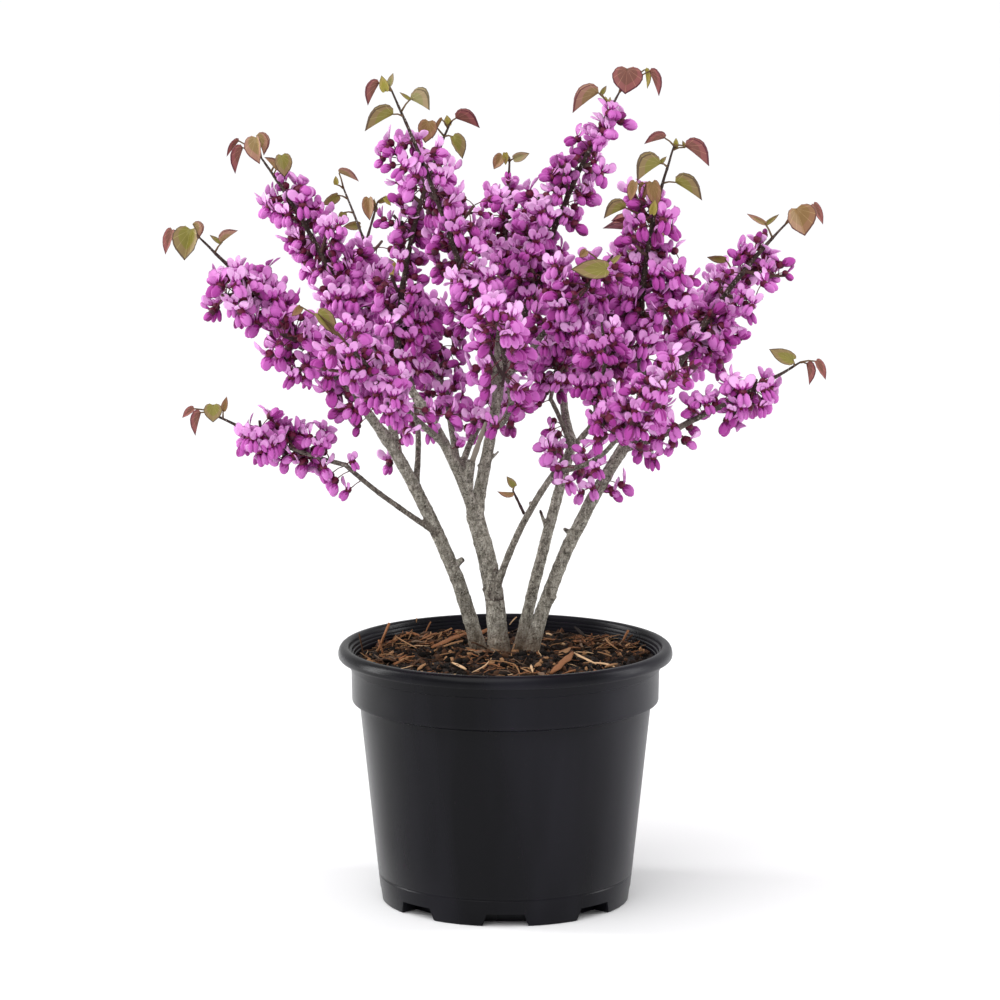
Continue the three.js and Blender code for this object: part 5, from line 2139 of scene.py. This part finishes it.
@dataclass
class NurseryPot:
    """The moulded pot: body, collar, rolled lip, ridged inside and notched foot."""

    foot_radius: float = 84.0
    foot_edge: tuple[Pair, ...] = ((1.4, 0.0), (0.5, 0.4), (0.0, 1.4))
    body_top: Pair = (98.2, 134.8)
    # The groove round the foot: each height, and how far in from the wall the skin lies there.
    groove: tuple[Pair, ...] = ((17.4, 0.0), (18.0, 0.35), (18.8, 0.4), (19.6, 0.0))
    body_heights: tuple[float, ...] = (50.0, 90.0, 120.0, 131.5)
    # Radius and height of each ring: up the collar and over the lip, then down the inside.
    collar_and_lip: tuple[Pair, ...] = (
        (102.2, 136.2), (103.0, 136.7), (103.3, 137.6), (103.3, 139.5), (103.5, 150.0),
        (103.6, 157.6), (103.7, 158.2), (104.3, 158.7), (104.4, 159.6), (104.4, 164.2),
        (104.7, 164.9), (106.0, 165.3), (110.6, 165.5), (111.7, 165.8), (112.3, 166.6),
        (112.5, 167.8), (112.4, 169.4), (111.9, 171.2), (111.0, 172.7), (109.8, 173.6),
        (108.4, 174.0),
    )
    inside: tuple[Pair, ...] = (
        (107.0, 174.0), (106.0, 173.6), (105.4, 172.9), (105.1, 171.9), (104.9, 170.6),
        (103.5, 170.2), (103.2, 169.6), (103.1, 168.2), (102.2, 167.8), (102.0, 167.2),
        (101.9, 165.8), (101.3, 165.5), (101.1, 164.9), (101.0, 163.5), (101.0, 138.4),
        (96.0, 135.4),
    )
    wall: float = 2.2
    floor: float = 2.6
    steps: int = 256
    notches: int = 8
    notch_height: float = 8.5
    notch_widths: Pair = (34.0, 25.0)
    notch_depth: float = 15.0
    notch_wall: float = 2.0
    lining_out: float = -3.2
    cut_out: float = 6.0
    cut_below: float = 5.0
    smooth_angle: float = 28.0

    def body_radius(self, z: float) -> float:
        """The body's outer radius at a height."""
        radius, top = self.body_top
        return self.foot_radius + (radius - self.foot_radius) * z / top

    def profile(self) -> list[Pair]:
        """The pot's section, from its underside over the lip to its floor inside."""
        r, top = self.body_top
        foot = [(self.foot_radius - inwards, z) for inwards, z in self.foot_edge]
        body = [(self.body_radius(z) - inwards, z) for z, inwards in self.groove]
        body += [(self.body_radius(z), z) for z in self.body_heights]
        shoulder = [(r - 0.5, top - 1.2), (r - 0.3, top), (r + 1.2, top + 0.9)]
        floor = (self.body_radius(self.floor) - self.wall, self.floor)
        return [*foot, *body, *shoulder, *self.collar_and_lip, *self.inside, floor]

    def wedge(self, grow: float, outwards: float, turn: float) -> Piece:
        """A block with slanting sides across the foot.

        Args:
            grow: How much wider and higher it is than the notch.
            outwards: How far it reaches out past the wall.
            turn: Its bearing round the pot, in radians.

        Returns:
            The block.
        """
        low, high = self.notch_widths
        reach = self.notch_depth + grow + outwards
        below = 0.0 if grow else self.cut_below
        height = self.notch_height + grow + below
        deselect()
        bpy.ops.mesh.primitive_cube_add(size=1)
        piece = bpy.context.object
        edit(piece)
        bpy.ops.mesh.select_all(action="SELECT")
        size = ((low + 2 * grow) * MM, reach * MM, height * MM)
        bpy.ops.transform.resize(value=size, center_override=(0, 0, 0))
        middle = self.foot_radius - self.notch_depth - grow + reach / 2
        bpy.ops.transform.translate(value=(0, -middle * MM, (height / 2 - below) * MM))
        select_top(piece)
        slope = (high - low) / self.notch_height * (height - below)
        narrow = (low + slope + 2 * grow) / (low + 2 * grow)
        bpy.ops.transform.resize(value=(narrow, 1, 1), center_override=(0, 0, 0))
        bpy.ops.object.mode_set(mode="OBJECT")
        piece.rotation_euler[2] = turn
        bpy.ops.object.transform_apply(location=False, rotation=True, scale=False)
        return piece

    def cut(self, piece: Piece, tools: list[Piece], how: str) -> None:
        """Joins or cuts a piece with several blocks and removes them."""
        tool = join(tools)
        apply_modifier(piece, "BOOLEAN", operation=how, object=tool, solver="EXACT")
        bpy.data.objects.remove(tool)

    def build(self, plastic: Material) -> Piece:
        """Builds the pot."""
        piece = lathe(self.profile(), self.steps)
        cap(piece)
        bpy.ops.mesh.select_all(action="SELECT")
        bpy.ops.mesh.normals_make_consistent(inside=False)
        bpy.ops.object.mode_set(mode="OBJECT")
        turns = [i * 2 * math.pi / self.notches for i in range(self.notches)]
        lining = [self.wedge(self.notch_wall, self.lining_out, turn) for turn in turns]
        self.cut(piece, lining, "UNION")
        self.cut(piece, [self.wedge(0.0, self.cut_out, turn) for turn in turns], "DIFFERENCE")
        settle(piece, "pot_shell", self.smooth_angle)
        coat(piece, plastic)
        return finish_piece(piece, "pot", "pot")


CHIP_FINISHES: tuple[PlainFinish, ...] = (
    PlainFinish("chip_pale", (212, 176, 136), 0.85, 0.25),
    PlainFinish("chip_tan", (154, 115, 80), 0.85, 0.25),
    PlainFinish("chip_orange", (140, 94, 62), 0.85, 0.25),
    PlainFinish("chip_brown", (74, 50, 34), 0.9, 0.2),
    PlainFinish("chip_dark", (28, 19, 13), 0.9, 0.2),
    PlainFinish("chip_grey", (116, 95, 78), 0.9, 0.2),
    PlainFinish("crumb_black", (13, 9, 7), 0.95, 0.2),
)


# What the fibres of a tangle, the loose fibres and the crumbs are made of, as slots.
TANGLE_MIX = (1, 1, 2, 2, 3, 3, 3, 3, 4, 5)
FIBRE_MIX = (0, 1, 2, 3, 3, 4, 4, 5)
CRUMB_MIX = (4, 6, 4, 6, 3, 6, 4, 3, 6, 4, 3, 6, 4, 6, 3, 1)
# The chips' slots by the share of the chips up to each.
CHIP_SHARES = (0.04, 0.14, 0.3, 0.58, 0.9, 1.0)


@dataclass(frozen=True)
class ChipPlace:
    """A splinter with a place of its own: both ends, its width, how far it curls, and its slot.

    The ends' heights are above the ground.
    """

    start: Point
    end: Point
    width: float
    curl: float
    slot: int


CHIP_TABLE: tuple[ChipPlace, ...] = tuple(
    ChipPlace(*row)
    for row in (
        ((-50, 18, 1.5), (-28, 52, 4.5), 4.6, 0.5, 2), ((-48, 5, 2.0), (-29, 35, 3.0), 2.2, -1, 1),
        ((-95, -10, 1.0), (-98, -10, 17.0), 1.5, 0.3, 3),
        ((-86, 7, 1.0), (-78, 7, 20.9), 4.2, 2.0, 2),
        ((-82, -3, 1.0), (-85, -3, 11.3), 3.0, -1.5, 2),
        ((-75, 52, 3.0), (-60, 11, 3.0), 1.2, 1.5, 1),
        ((-58, -56, 1.5), (-53, -43, 3.0), 2.6, 0.2, 1),
        ((-35, -35, 2.0), (-26, -58, 2.5), 2.8, 0.4, 0),
        ((30, -66, 1.5), (45, -16, 5.0), 5.6, 0.8, 2),
        ((46, -11, 4.0), (60, -48, 4.0), 2.4, 1.2, 0),
        ((58, -45, 4.0), (72, -53, 3.0), 2.2, -1.2, 0),
        ((66, -56, 3.5), (74, -46, 3.5), 3.0, 0.3, 1), ((80, 41, 1.0), (84, 41, 9.3), 3.0, 0.5, 2),
        ((83, 45, 1.0), (87, 45, 5.2), 2.2, 0, 3), ((68, 43, 3.5), (76, 3, 3.5), 1.0, 1.6, 1),
        ((48, 85, 3.0), (55, 44, 4.0), 2.6, 0.5, 4),
        ((-22, -71, 3.0), (-11, -43, 5.0), 0.9, 2.5, 0),
        ((-11, -43, 5.0), (7, -52, 4.0), 0.9, -2.2, 1),
        ((-10, -30, 3.0), (-7, -8, 5.0), 0.9, 0.3, 0), ((20, 13, 4.0), (24, -22, 4.0), 0.8, 0.3, 0),
        ((3, 97, 2.0), (8, 97, 7.7), 1.0, 0.3, 0), ((17, -47, 3.0), (18, -71, 3.0), 1.6, 0.2, 0),
        ((28, 60, 3.0), (32, 55, 3.0), 1.8, 0, 0), ((10, -59, 3.5), (17, -75, 3.5), 1.0, 1, 1),
        ((4, -23, 3.0), (8, 25, 5.0), 1.0, -1.0, 1), ((24, 26, 3.0), (29, 14, 3.0), 1.2, 0.3, 1),
        ((-44, -16, 3.5), (-33, -6, 3.5), 1.0, 1.2, 1),
        ((-71, -37, 3.0), (-62, -20, 3.0), 1.2, -1, 1), ((59, 38, 3.0), (69, 54, 4.0), 1.3, 1.3, 3),
        ((38, 38, 3.0), (46, 24, 3.0), 1.4, 0.5, 3), ((62, -3, 3.0), (71, -17, 3.0), 1.1, 0.8, 1),
        ((-58, 33, 4.0), (-47, 53, 5.0), 1.8, 0.7, 2),
        ((-70, 86, 2.0), (-64, 86, 7.6), 1.6, 0.4, 2),
        ((-62, 86, 2.0), (-61, 86, 9.0), 1.2, 0.2, 1),
        ((-55, 65, 2.0), (-51, 65, 10.4), 1.4, -0.3, 2),
    )
)


@dataclass(frozen=True)
class Heap:
    """A tangle of fibres: its middle, its radius, its height and how many fibres it has."""

    x: float
    y: float
    radius: float
    height: float
    fibres: int


HEAPS: tuple[Heap, ...] = tuple(
    Heap(*row)
    for row in (
        (-64, 48, 26, 6.5, 90), (-78, -16, 15, 6.0, 60), (-36, 60, 16, 5.5, 46),
        (58, 52, 26, 5.0, 56), (80, 28, 14, 4.5, 32), (6, -54, 24, 3.5, 40), (-14, -6, 20, 4.0, 30),
    )
)


class Draw(IntEnum):
    """What a draw for the potting mix is for."""

    CHIP = 300
    FIBRE = 400
    CRUMB = 500
    TANGLE = 600


@dataclass
class Mulch:
    """The composted bark in the pot: an uneven bed with chips, fibres and crumbs on it."""

    skeleton: Skeleton
    rim_radius: float = 100.2
    spread: float = 96.0
    reach: float = 98.0
    stem_room: float = 9.0
    # Radius and height of each ring of the bed, up from the floor to its edge.
    sides: tuple[Pair, ...] = (
        (64.0, 2.95), (64.2, 10.85), (82.4, 10.85), (95.2, 135.6), (100.2, 139.0), (100.2, 160.0),
    )
    surface_height: float = 166.0
    ring_step: float = 1.6
    rings: int = 62
    steps: int = 220
    # How high, how long and how far apart in the noise each kind of unevenness of the bed is.
    waves: tuple[Point, ...] = ((2.6, 26, 1.3), (2.0, 8, 5.1), (1.3, 3.2, 9.7))
    chips: int = 90
    chip_lengths: Pair = (6, 27)
    chip_widths: Pair = (0.12, 0.34)
    chip_lift: Pair = (0.2, 1.6)
    fibres: int = 150
    fibre_lengths: Pair = (7, 30)
    fibre_radii: Pair = (0.2, 0.5)
    fibre_lift: Pair = (0.6, 2.6)
    fibre_shape: tuple[float, ...] = (0.4, 0.9, 1, 1, 0.9, 0.75, 0.35)
    tangle_lengths: Pair = (5, 19)
    tangle_widths: Pair = (0.5, 2.3)
    crumbs: int = 3600
    crumb_sizes: Pair = (0.4, 2.6)
    crumb_stretch: Pair = (0.7, 1.4)
    # How steeply a chip lies and how far it rolls, in degrees, and how far it curls for its length.
    pitches: Pair = (-14, 26)
    rolls: Pair = (-38, 38)
    curls: Pair = (-0.35, 0.5)

    def level(self, x: float, y: float) -> float:
        """The bed's height above the pot's foot at a place."""
        reach = math.hypot(x, y)
        mound = 3.2 * math.exp(-((reach - 20) ** 2) / 500) - 2.4 * (reach / self.rim_radius) ** 3
        level = GROUND - 0.6 + mound
        for high, long, layer in self.waves:
            level += high * noise.noise(Vector((x / long, y / long, layer)))
        return level

    def bed(self, soil: Material) -> Piece:
        """The bed itself, down to the pot's floor."""
        radii = [self.rim_radius - self.ring_step * i for i in range(self.rings)] + [1.0]
        surface = [(radius, self.surface_height) for radius in radii]
        piece = lathe([*self.sides, *surface], self.steps)
        cap(piece)
        bpy.ops.object.mode_set(mode="OBJECT")
        places = points_of(piece)
        for place in places:
            if place[2] > (self.surface_height - 1) * MM:
                place[2] = self.level(place[0] / MM, place[1] / MM) * MM
        set_points(piece, places)
        settle(piece, "mulch_bed")
        coat(piece, soil)
        return finish_piece(piece, "potting_mix", "potting_mix")

    def spot(self, use: int, i: int) -> Pair:
        """A place on the bed, clear of the stems' feet."""
        for attempt in range(8):
            reach = self.spread * math.sqrt(chance(use, i, attempt, 0))
            bearing = 2 * math.pi * chance(use, i, attempt, 1)
            x, y = reach * math.cos(bearing), reach * math.sin(bearing)
            feet = [self.skeleton.limbs[name].start for name in STEMS]
            if all(math.hypot(x - foot[0], y - foot[1]) > self.stem_room for foot in feet):
                break
        return x, y

    def splinter(
        self, route: Array, width: float, thick: float, up: Array, slot: int, seed: int
    ) -> Stamp:
        """A flat torn piece of bark along a route.

        Args:
            route: The points along its middle, one row each.
            width: Its width.
            thick: Its thickness.
            up: The way its flat side faces.
            slot: The slot of its faces.
            seed: The seed of its ragged edges.

        Returns:
            The stamp.
        """
        sides, count = 8, len(route)
        bar = tube_stamp(route, [1.0] * count, sides, slot)
        tangents = np.gradient(route, axis=0)
        for i in range(count):
            t = unit(tangents[i])
            across = unit(np.cross(up, t))
            over = np.cross(t, across)
            share = i / (count - 1)
            taper = min(1.0, 0.35 + 2.6 * min(share, 1 - share))
            for j in range(sides):
                row = i * sides + j
                angle = 2 * math.pi * j / sides
                ragged = 0.72 + 0.56 * chance(seed, i, j)
                grain = 1 + 0.25 * (chance(seed, i, j, 6) - 0.5)
                aside = math.cos(angle) * width / 2 * taper * ragged * grain
                rise = math.sin(angle) * thick / 2 * (0.7 + 0.6 * chance(seed, j, 5))
                bar.points[row] = route[i] + across * aside + over * rise
        return bar

    def chip_route(self, x: float, y: float, seed: int, length: float) -> tuple[Array, Array]:
        """The line that a chip lies on, and the way it faces."""
        heading = 2 * math.pi * chance(seed, 11)
        pitch = math.radians(between(*self.pitches, chance(seed, 12) ** 2))
        curl = between(*self.curls, chance(seed, 13))
        shares = np.linspace(-0.5, 0.5, 7)
        along = np.array([math.cos(heading), math.sin(heading), 0.0])
        aside = np.array([-along[1], along[0], 0.0])
        points = []
        for share in shares:
            s = share * length
            point = np.array([x, y, 0.0]) + along * s * math.cos(pitch)
            point += aside * curl * length * (share**2 - 0.08)
            reach = math.hypot(point[0], point[1])
            if reach > self.reach:
                point[:2] *= self.reach / reach
            base = self.level(point[0], point[1])
            arch = 0.14 * length * (0.25 - share**2) * (chance(seed, 14) - 0.25)
            point[2] = base * 0.55 + self.level(x, y) * 0.45 + s * math.sin(pitch) + arch
            points.append(point)
        roll = math.radians(between(*self.rolls, chance(seed, 15)))
        return np.array(points), UP * math.cos(roll) + aside * math.sin(roll)

    def placed_route(self, place: ChipPlace) -> tuple[Array, Array]:
        """The line of a splinter with a place of its own, and the way its flat side faces."""
        start, end = np.array(place.start) + RAISED, np.array(place.end) + RAISED
        shares = np.linspace(0, 1, 9)[:, None]
        aside = unit(np.cross(end - start, UP))
        bulge = 4 * shares * (1 - shares)
        route = start * (1 - shares) + end * shares + (aside * place.curl + 0.5 * UP) * bulge
        return route, unit(np.cross(aside, end - start) + [0.0, -0.6, 0.0])

    def heap_fibres(self) -> Iterator[Stamp]:
        """The fibres of the tangles, lying over each other."""
        for h, heap in enumerate(HEAPS):
            for i in range(heap.fibres):
                draws = [chance(Draw.TANGLE + h, i, n) for n in range(6)]
                reach, bearing = heap.radius * math.sqrt(draws[0]), 2 * math.pi * draws[1]
                x = heap.x + reach * math.cos(bearing)
                y = heap.y + reach * math.sin(bearing)
                high = heap.height * (1 - (reach / heap.radius) ** 2) * draws[2] + 1.0
                length = between(*self.tangle_lengths, draws[3])
                route, up = self.chip_route(x, y, 9500 + 200 * h + i, length)
                slot = pick(TANGLE_MIX, draws[4])
                width = between(*self.tangle_widths, draws[5] ** 2)
                thick = 0.5 + 0.2 * width
                yield self.splinter(route + high * UP, width, thick, up, slot, 9800 + i)

    def chip_piece(self) -> Piece:
        """The chips, joined."""
        joined = JoinedMesh("bark_chips", CHIP_FINISHES)
        for i in range(self.chips):
            x, y = self.spot(Draw.CHIP, i)
            length = between(*self.chip_lengths, chance(Draw.CHIP, i, 20) ** 1.6)
            width = length * between(*self.chip_widths, chance(Draw.CHIP, i, 21))
            route, up = self.chip_route(x, y, 7000 + i, length)
            draw = chance(Draw.CHIP, i, 22)
            slot = next(s for s, top in enumerate(CHIP_SHARES) if draw <= top)
            lifted = route + between(*self.chip_lift, chance(Draw.CHIP, i, 23)) * UP
            joined.add(self.splinter(lifted, width, 0.8 + 0.1 * width, up, slot, 8000 + i))
        for i, place in enumerate(CHIP_TABLE):
            route, up = self.placed_route(place)
            thick = 0.5 + 0.3 * place.width
            joined.add(self.splinter(route, place.width, thick, up, place.slot, 8500 + i))
        return finish_piece(joined.build(), "potting_mix")

    def fibre_piece(self) -> Piece:
        """The thin fibres and sticks, joined."""
        joined = JoinedMesh("mulch_fibres", CHIP_FINISHES)
        for i in range(self.fibres):
            x, y = self.spot(Draw.FIBRE, i)
            length = between(*self.fibre_lengths, chance(Draw.FIBRE, i, 20) ** 1.5)
            route, _ = self.chip_route(x, y, 9000 + i, length)
            lift = between(*self.fibre_lift, chance(Draw.FIBRE, i, 21))
            radius = between(*self.fibre_radii, chance(Draw.FIBRE, i, 22) ** 2)
            slot = pick(FIBRE_MIX, chance(Draw.FIBRE, i, 23))
            radii = [radius * part for part in self.fibre_shape]
            joined.add(tube_stamp(route + lift * UP, radii, 5, slot))
        for stamp in self.heap_fibres():
            joined.add(stamp)
        return finish_piece(joined.build(), "potting_mix")

    def crumb_piece(self) -> Piece:
        """The crumbs of compost, joined from one lump that each copy makes ragged."""
        deselect()
        bpy.ops.mesh.primitive_ico_sphere_add(subdivisions=1, radius=1)
        lump = Stamp.of(bpy.context.object, lambda m, n: 0)
        joined = JoinedMesh("mulch_crumbs", CHIP_FINISHES)
        for i in range(self.crumbs):
            x, y = self.spot(Draw.CRUMB, i)
            size = between(*self.crumb_sizes, chance(Draw.CRUMB, i, 20) ** 3.0)
            shift = Vector((i * 3.1, 0, 0))
            ragged = np.array([1 + 0.9 * noise.noise(Vector(p * 1.7) + shift) for p in lump.points])
            draws = [chance(Draw.CRUMB, i, n) for n in (21, 22, 23)]
            stretch = [between(*self.crumb_stretch, draw) for draw in draws]
            points = lump.points * ragged[:, None] * stretch * size
            slot = pick(CRUMB_MIX, chance(Draw.CRUMB, i, 24))
            slots = np.full(len(lump.faces), slot, int)
            at = np.array([x, y, self.level(x, y) + 0.25 * size])
            joined.add(Stamp(points + at, lump.faces, slots))
        return finish_piece(joined.build(), "potting_mix")


# ---------------------------------------------------------------- studio


# In metres, as the places of the lights are.
PLANT_MIDDLE: Point = (0, 0, 0.2)


@dataclass(frozen=True)
class SoftBox:
    """A soft box: its place, its width and height, and its power."""

    name: str
    place: Point
    size: Pair
    power: float

    def hang(self) -> None:
        """Hangs the box, turned to the plant's middle."""
        deselect()
        bpy.ops.object.light_add(type="AREA", location=self.place)
        box = bpy.context.object
        box.name = self.name
        box.data.shape = "RECTANGLE"
        box.data.size, box.data.size_y = self.size
        box.data.energy = self.power
        aim = Vector(PLANT_MIDDLE) - box.location
        box.rotation_euler = aim.to_track_quat("-Z", "Y").to_euler()


@dataclass
class Studio:
    """A white sweep under one wide soft light, two tall boxes at the sides, and the camera."""

    camera_place: Point = (-3.6, -3000.0, 771.34)
    camera_aim: Point = (-3.6, 0.0, 272.08)
    lens: float = 163.6
    sensor: float = 36.0
    farthest: float = 200.0
    floor_size: float = 120.0
    white: Colour = (246, 246, 247)
    sky: float = 0.66
    key_from: Point = (-0.8, -1.5, 2.5)
    key_strength: float = 1.85
    key_spread: float = 62.0
    boxes: tuple[SoftBox, ...] = (
        SoftBox("tall_box_left", (-1.9, 0.35, 0.75), (0.5, 1.5), 22),
        SoftBox("tall_box_right", (1.9, 0.2, 0.75), (0.4, 1.5), 16),
    )

    def build(self) -> None:
        """Sets the camera, the floor, the sky and the lights."""
        deselect()
        bpy.ops.object.camera_add(location=[c * MM for c in self.camera_place])
        camera = bpy.context.object
        camera.name = "camera"
        camera.data.lens, camera.data.sensor_width = self.lens, self.sensor
        camera.data.clip_end = self.farthest
        aim = Vector(self.camera_aim) - Vector(self.camera_place)
        camera.rotation_euler = aim.to_track_quat("-Z", "Y").to_euler()
        bpy.context.scene.camera = camera
        bpy.ops.mesh.primitive_plane_add(size=self.floor_size)
        floor = bpy.context.object
        floor.name = "floor"
        floor.data.materials.append(PlainFinish("white_sweep", self.white, 0.7, 0.1).make())
        world = bpy.data.worlds.new("studio")
        world.use_nodes = True
        world.node_tree.nodes["Background"].inputs["Color"].default_value = (1, 1, 1, 1)
        world.node_tree.nodes["Background"].inputs["Strength"].default_value = self.sky
        bpy.context.scene.world = world
        bpy.ops.object.light_add(type="SUN", location=self.key_from)
        key = bpy.context.object
        key.name = "key"
        key.data.energy, key.data.angle = self.key_strength, math.radians(self.key_spread)
        key.rotation_euler = (-Vector(self.key_from)).to_track_quat("-Z", "Y").to_euler()
        for box in self.boxes:
            box.hang()
        view = bpy.context.scene.view_settings
        view.view_transform, view.look, view.exposure, view.gamma = "Standard", "None", 0.0, 1.0


def main() -> None:
    """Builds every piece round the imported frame, in order."""
    logging.basicConfig(level=logging.INFO, format="%(name)s: %(message)s")
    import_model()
    Studio().build()

    NurseryPot().build(PlasticFinish("black_plastic").make())
    skeleton = Skeleton()
    LOG.info("twigs: %d", sum(len(mass.twigs) for mass in skeleton.masses.values()))
    mulch = Mulch(skeleton)
    mulch.bed(SoilFinish("composted_bark").make())
    mulch.chip_piece()
    mulch.fibre_piece()
    mulch.crumb_piece()

    bark = BarkFinish("redbud_bark").make()
    bark_work = BarkWork(skeleton)
    for stem_name in STEMS:
        bark_work.build(stem_name, bark)

    stalks = JoinedMesh("flower_and_leaf_stalks", WOOD_FINISHES)
    blossoming = Blossoming(skeleton, FlowerMaker())
    blossoming.build(stalks)
    twig_work = TwigWork(skeleton, blossoming)
    twig_work.upper_boughs(bark)
    twig_work.twigs()
    LeafWork(skeleton).build(stalks)
    finish_piece(stalks.build(), "bark")


if __name__ == "__main__":
    main()
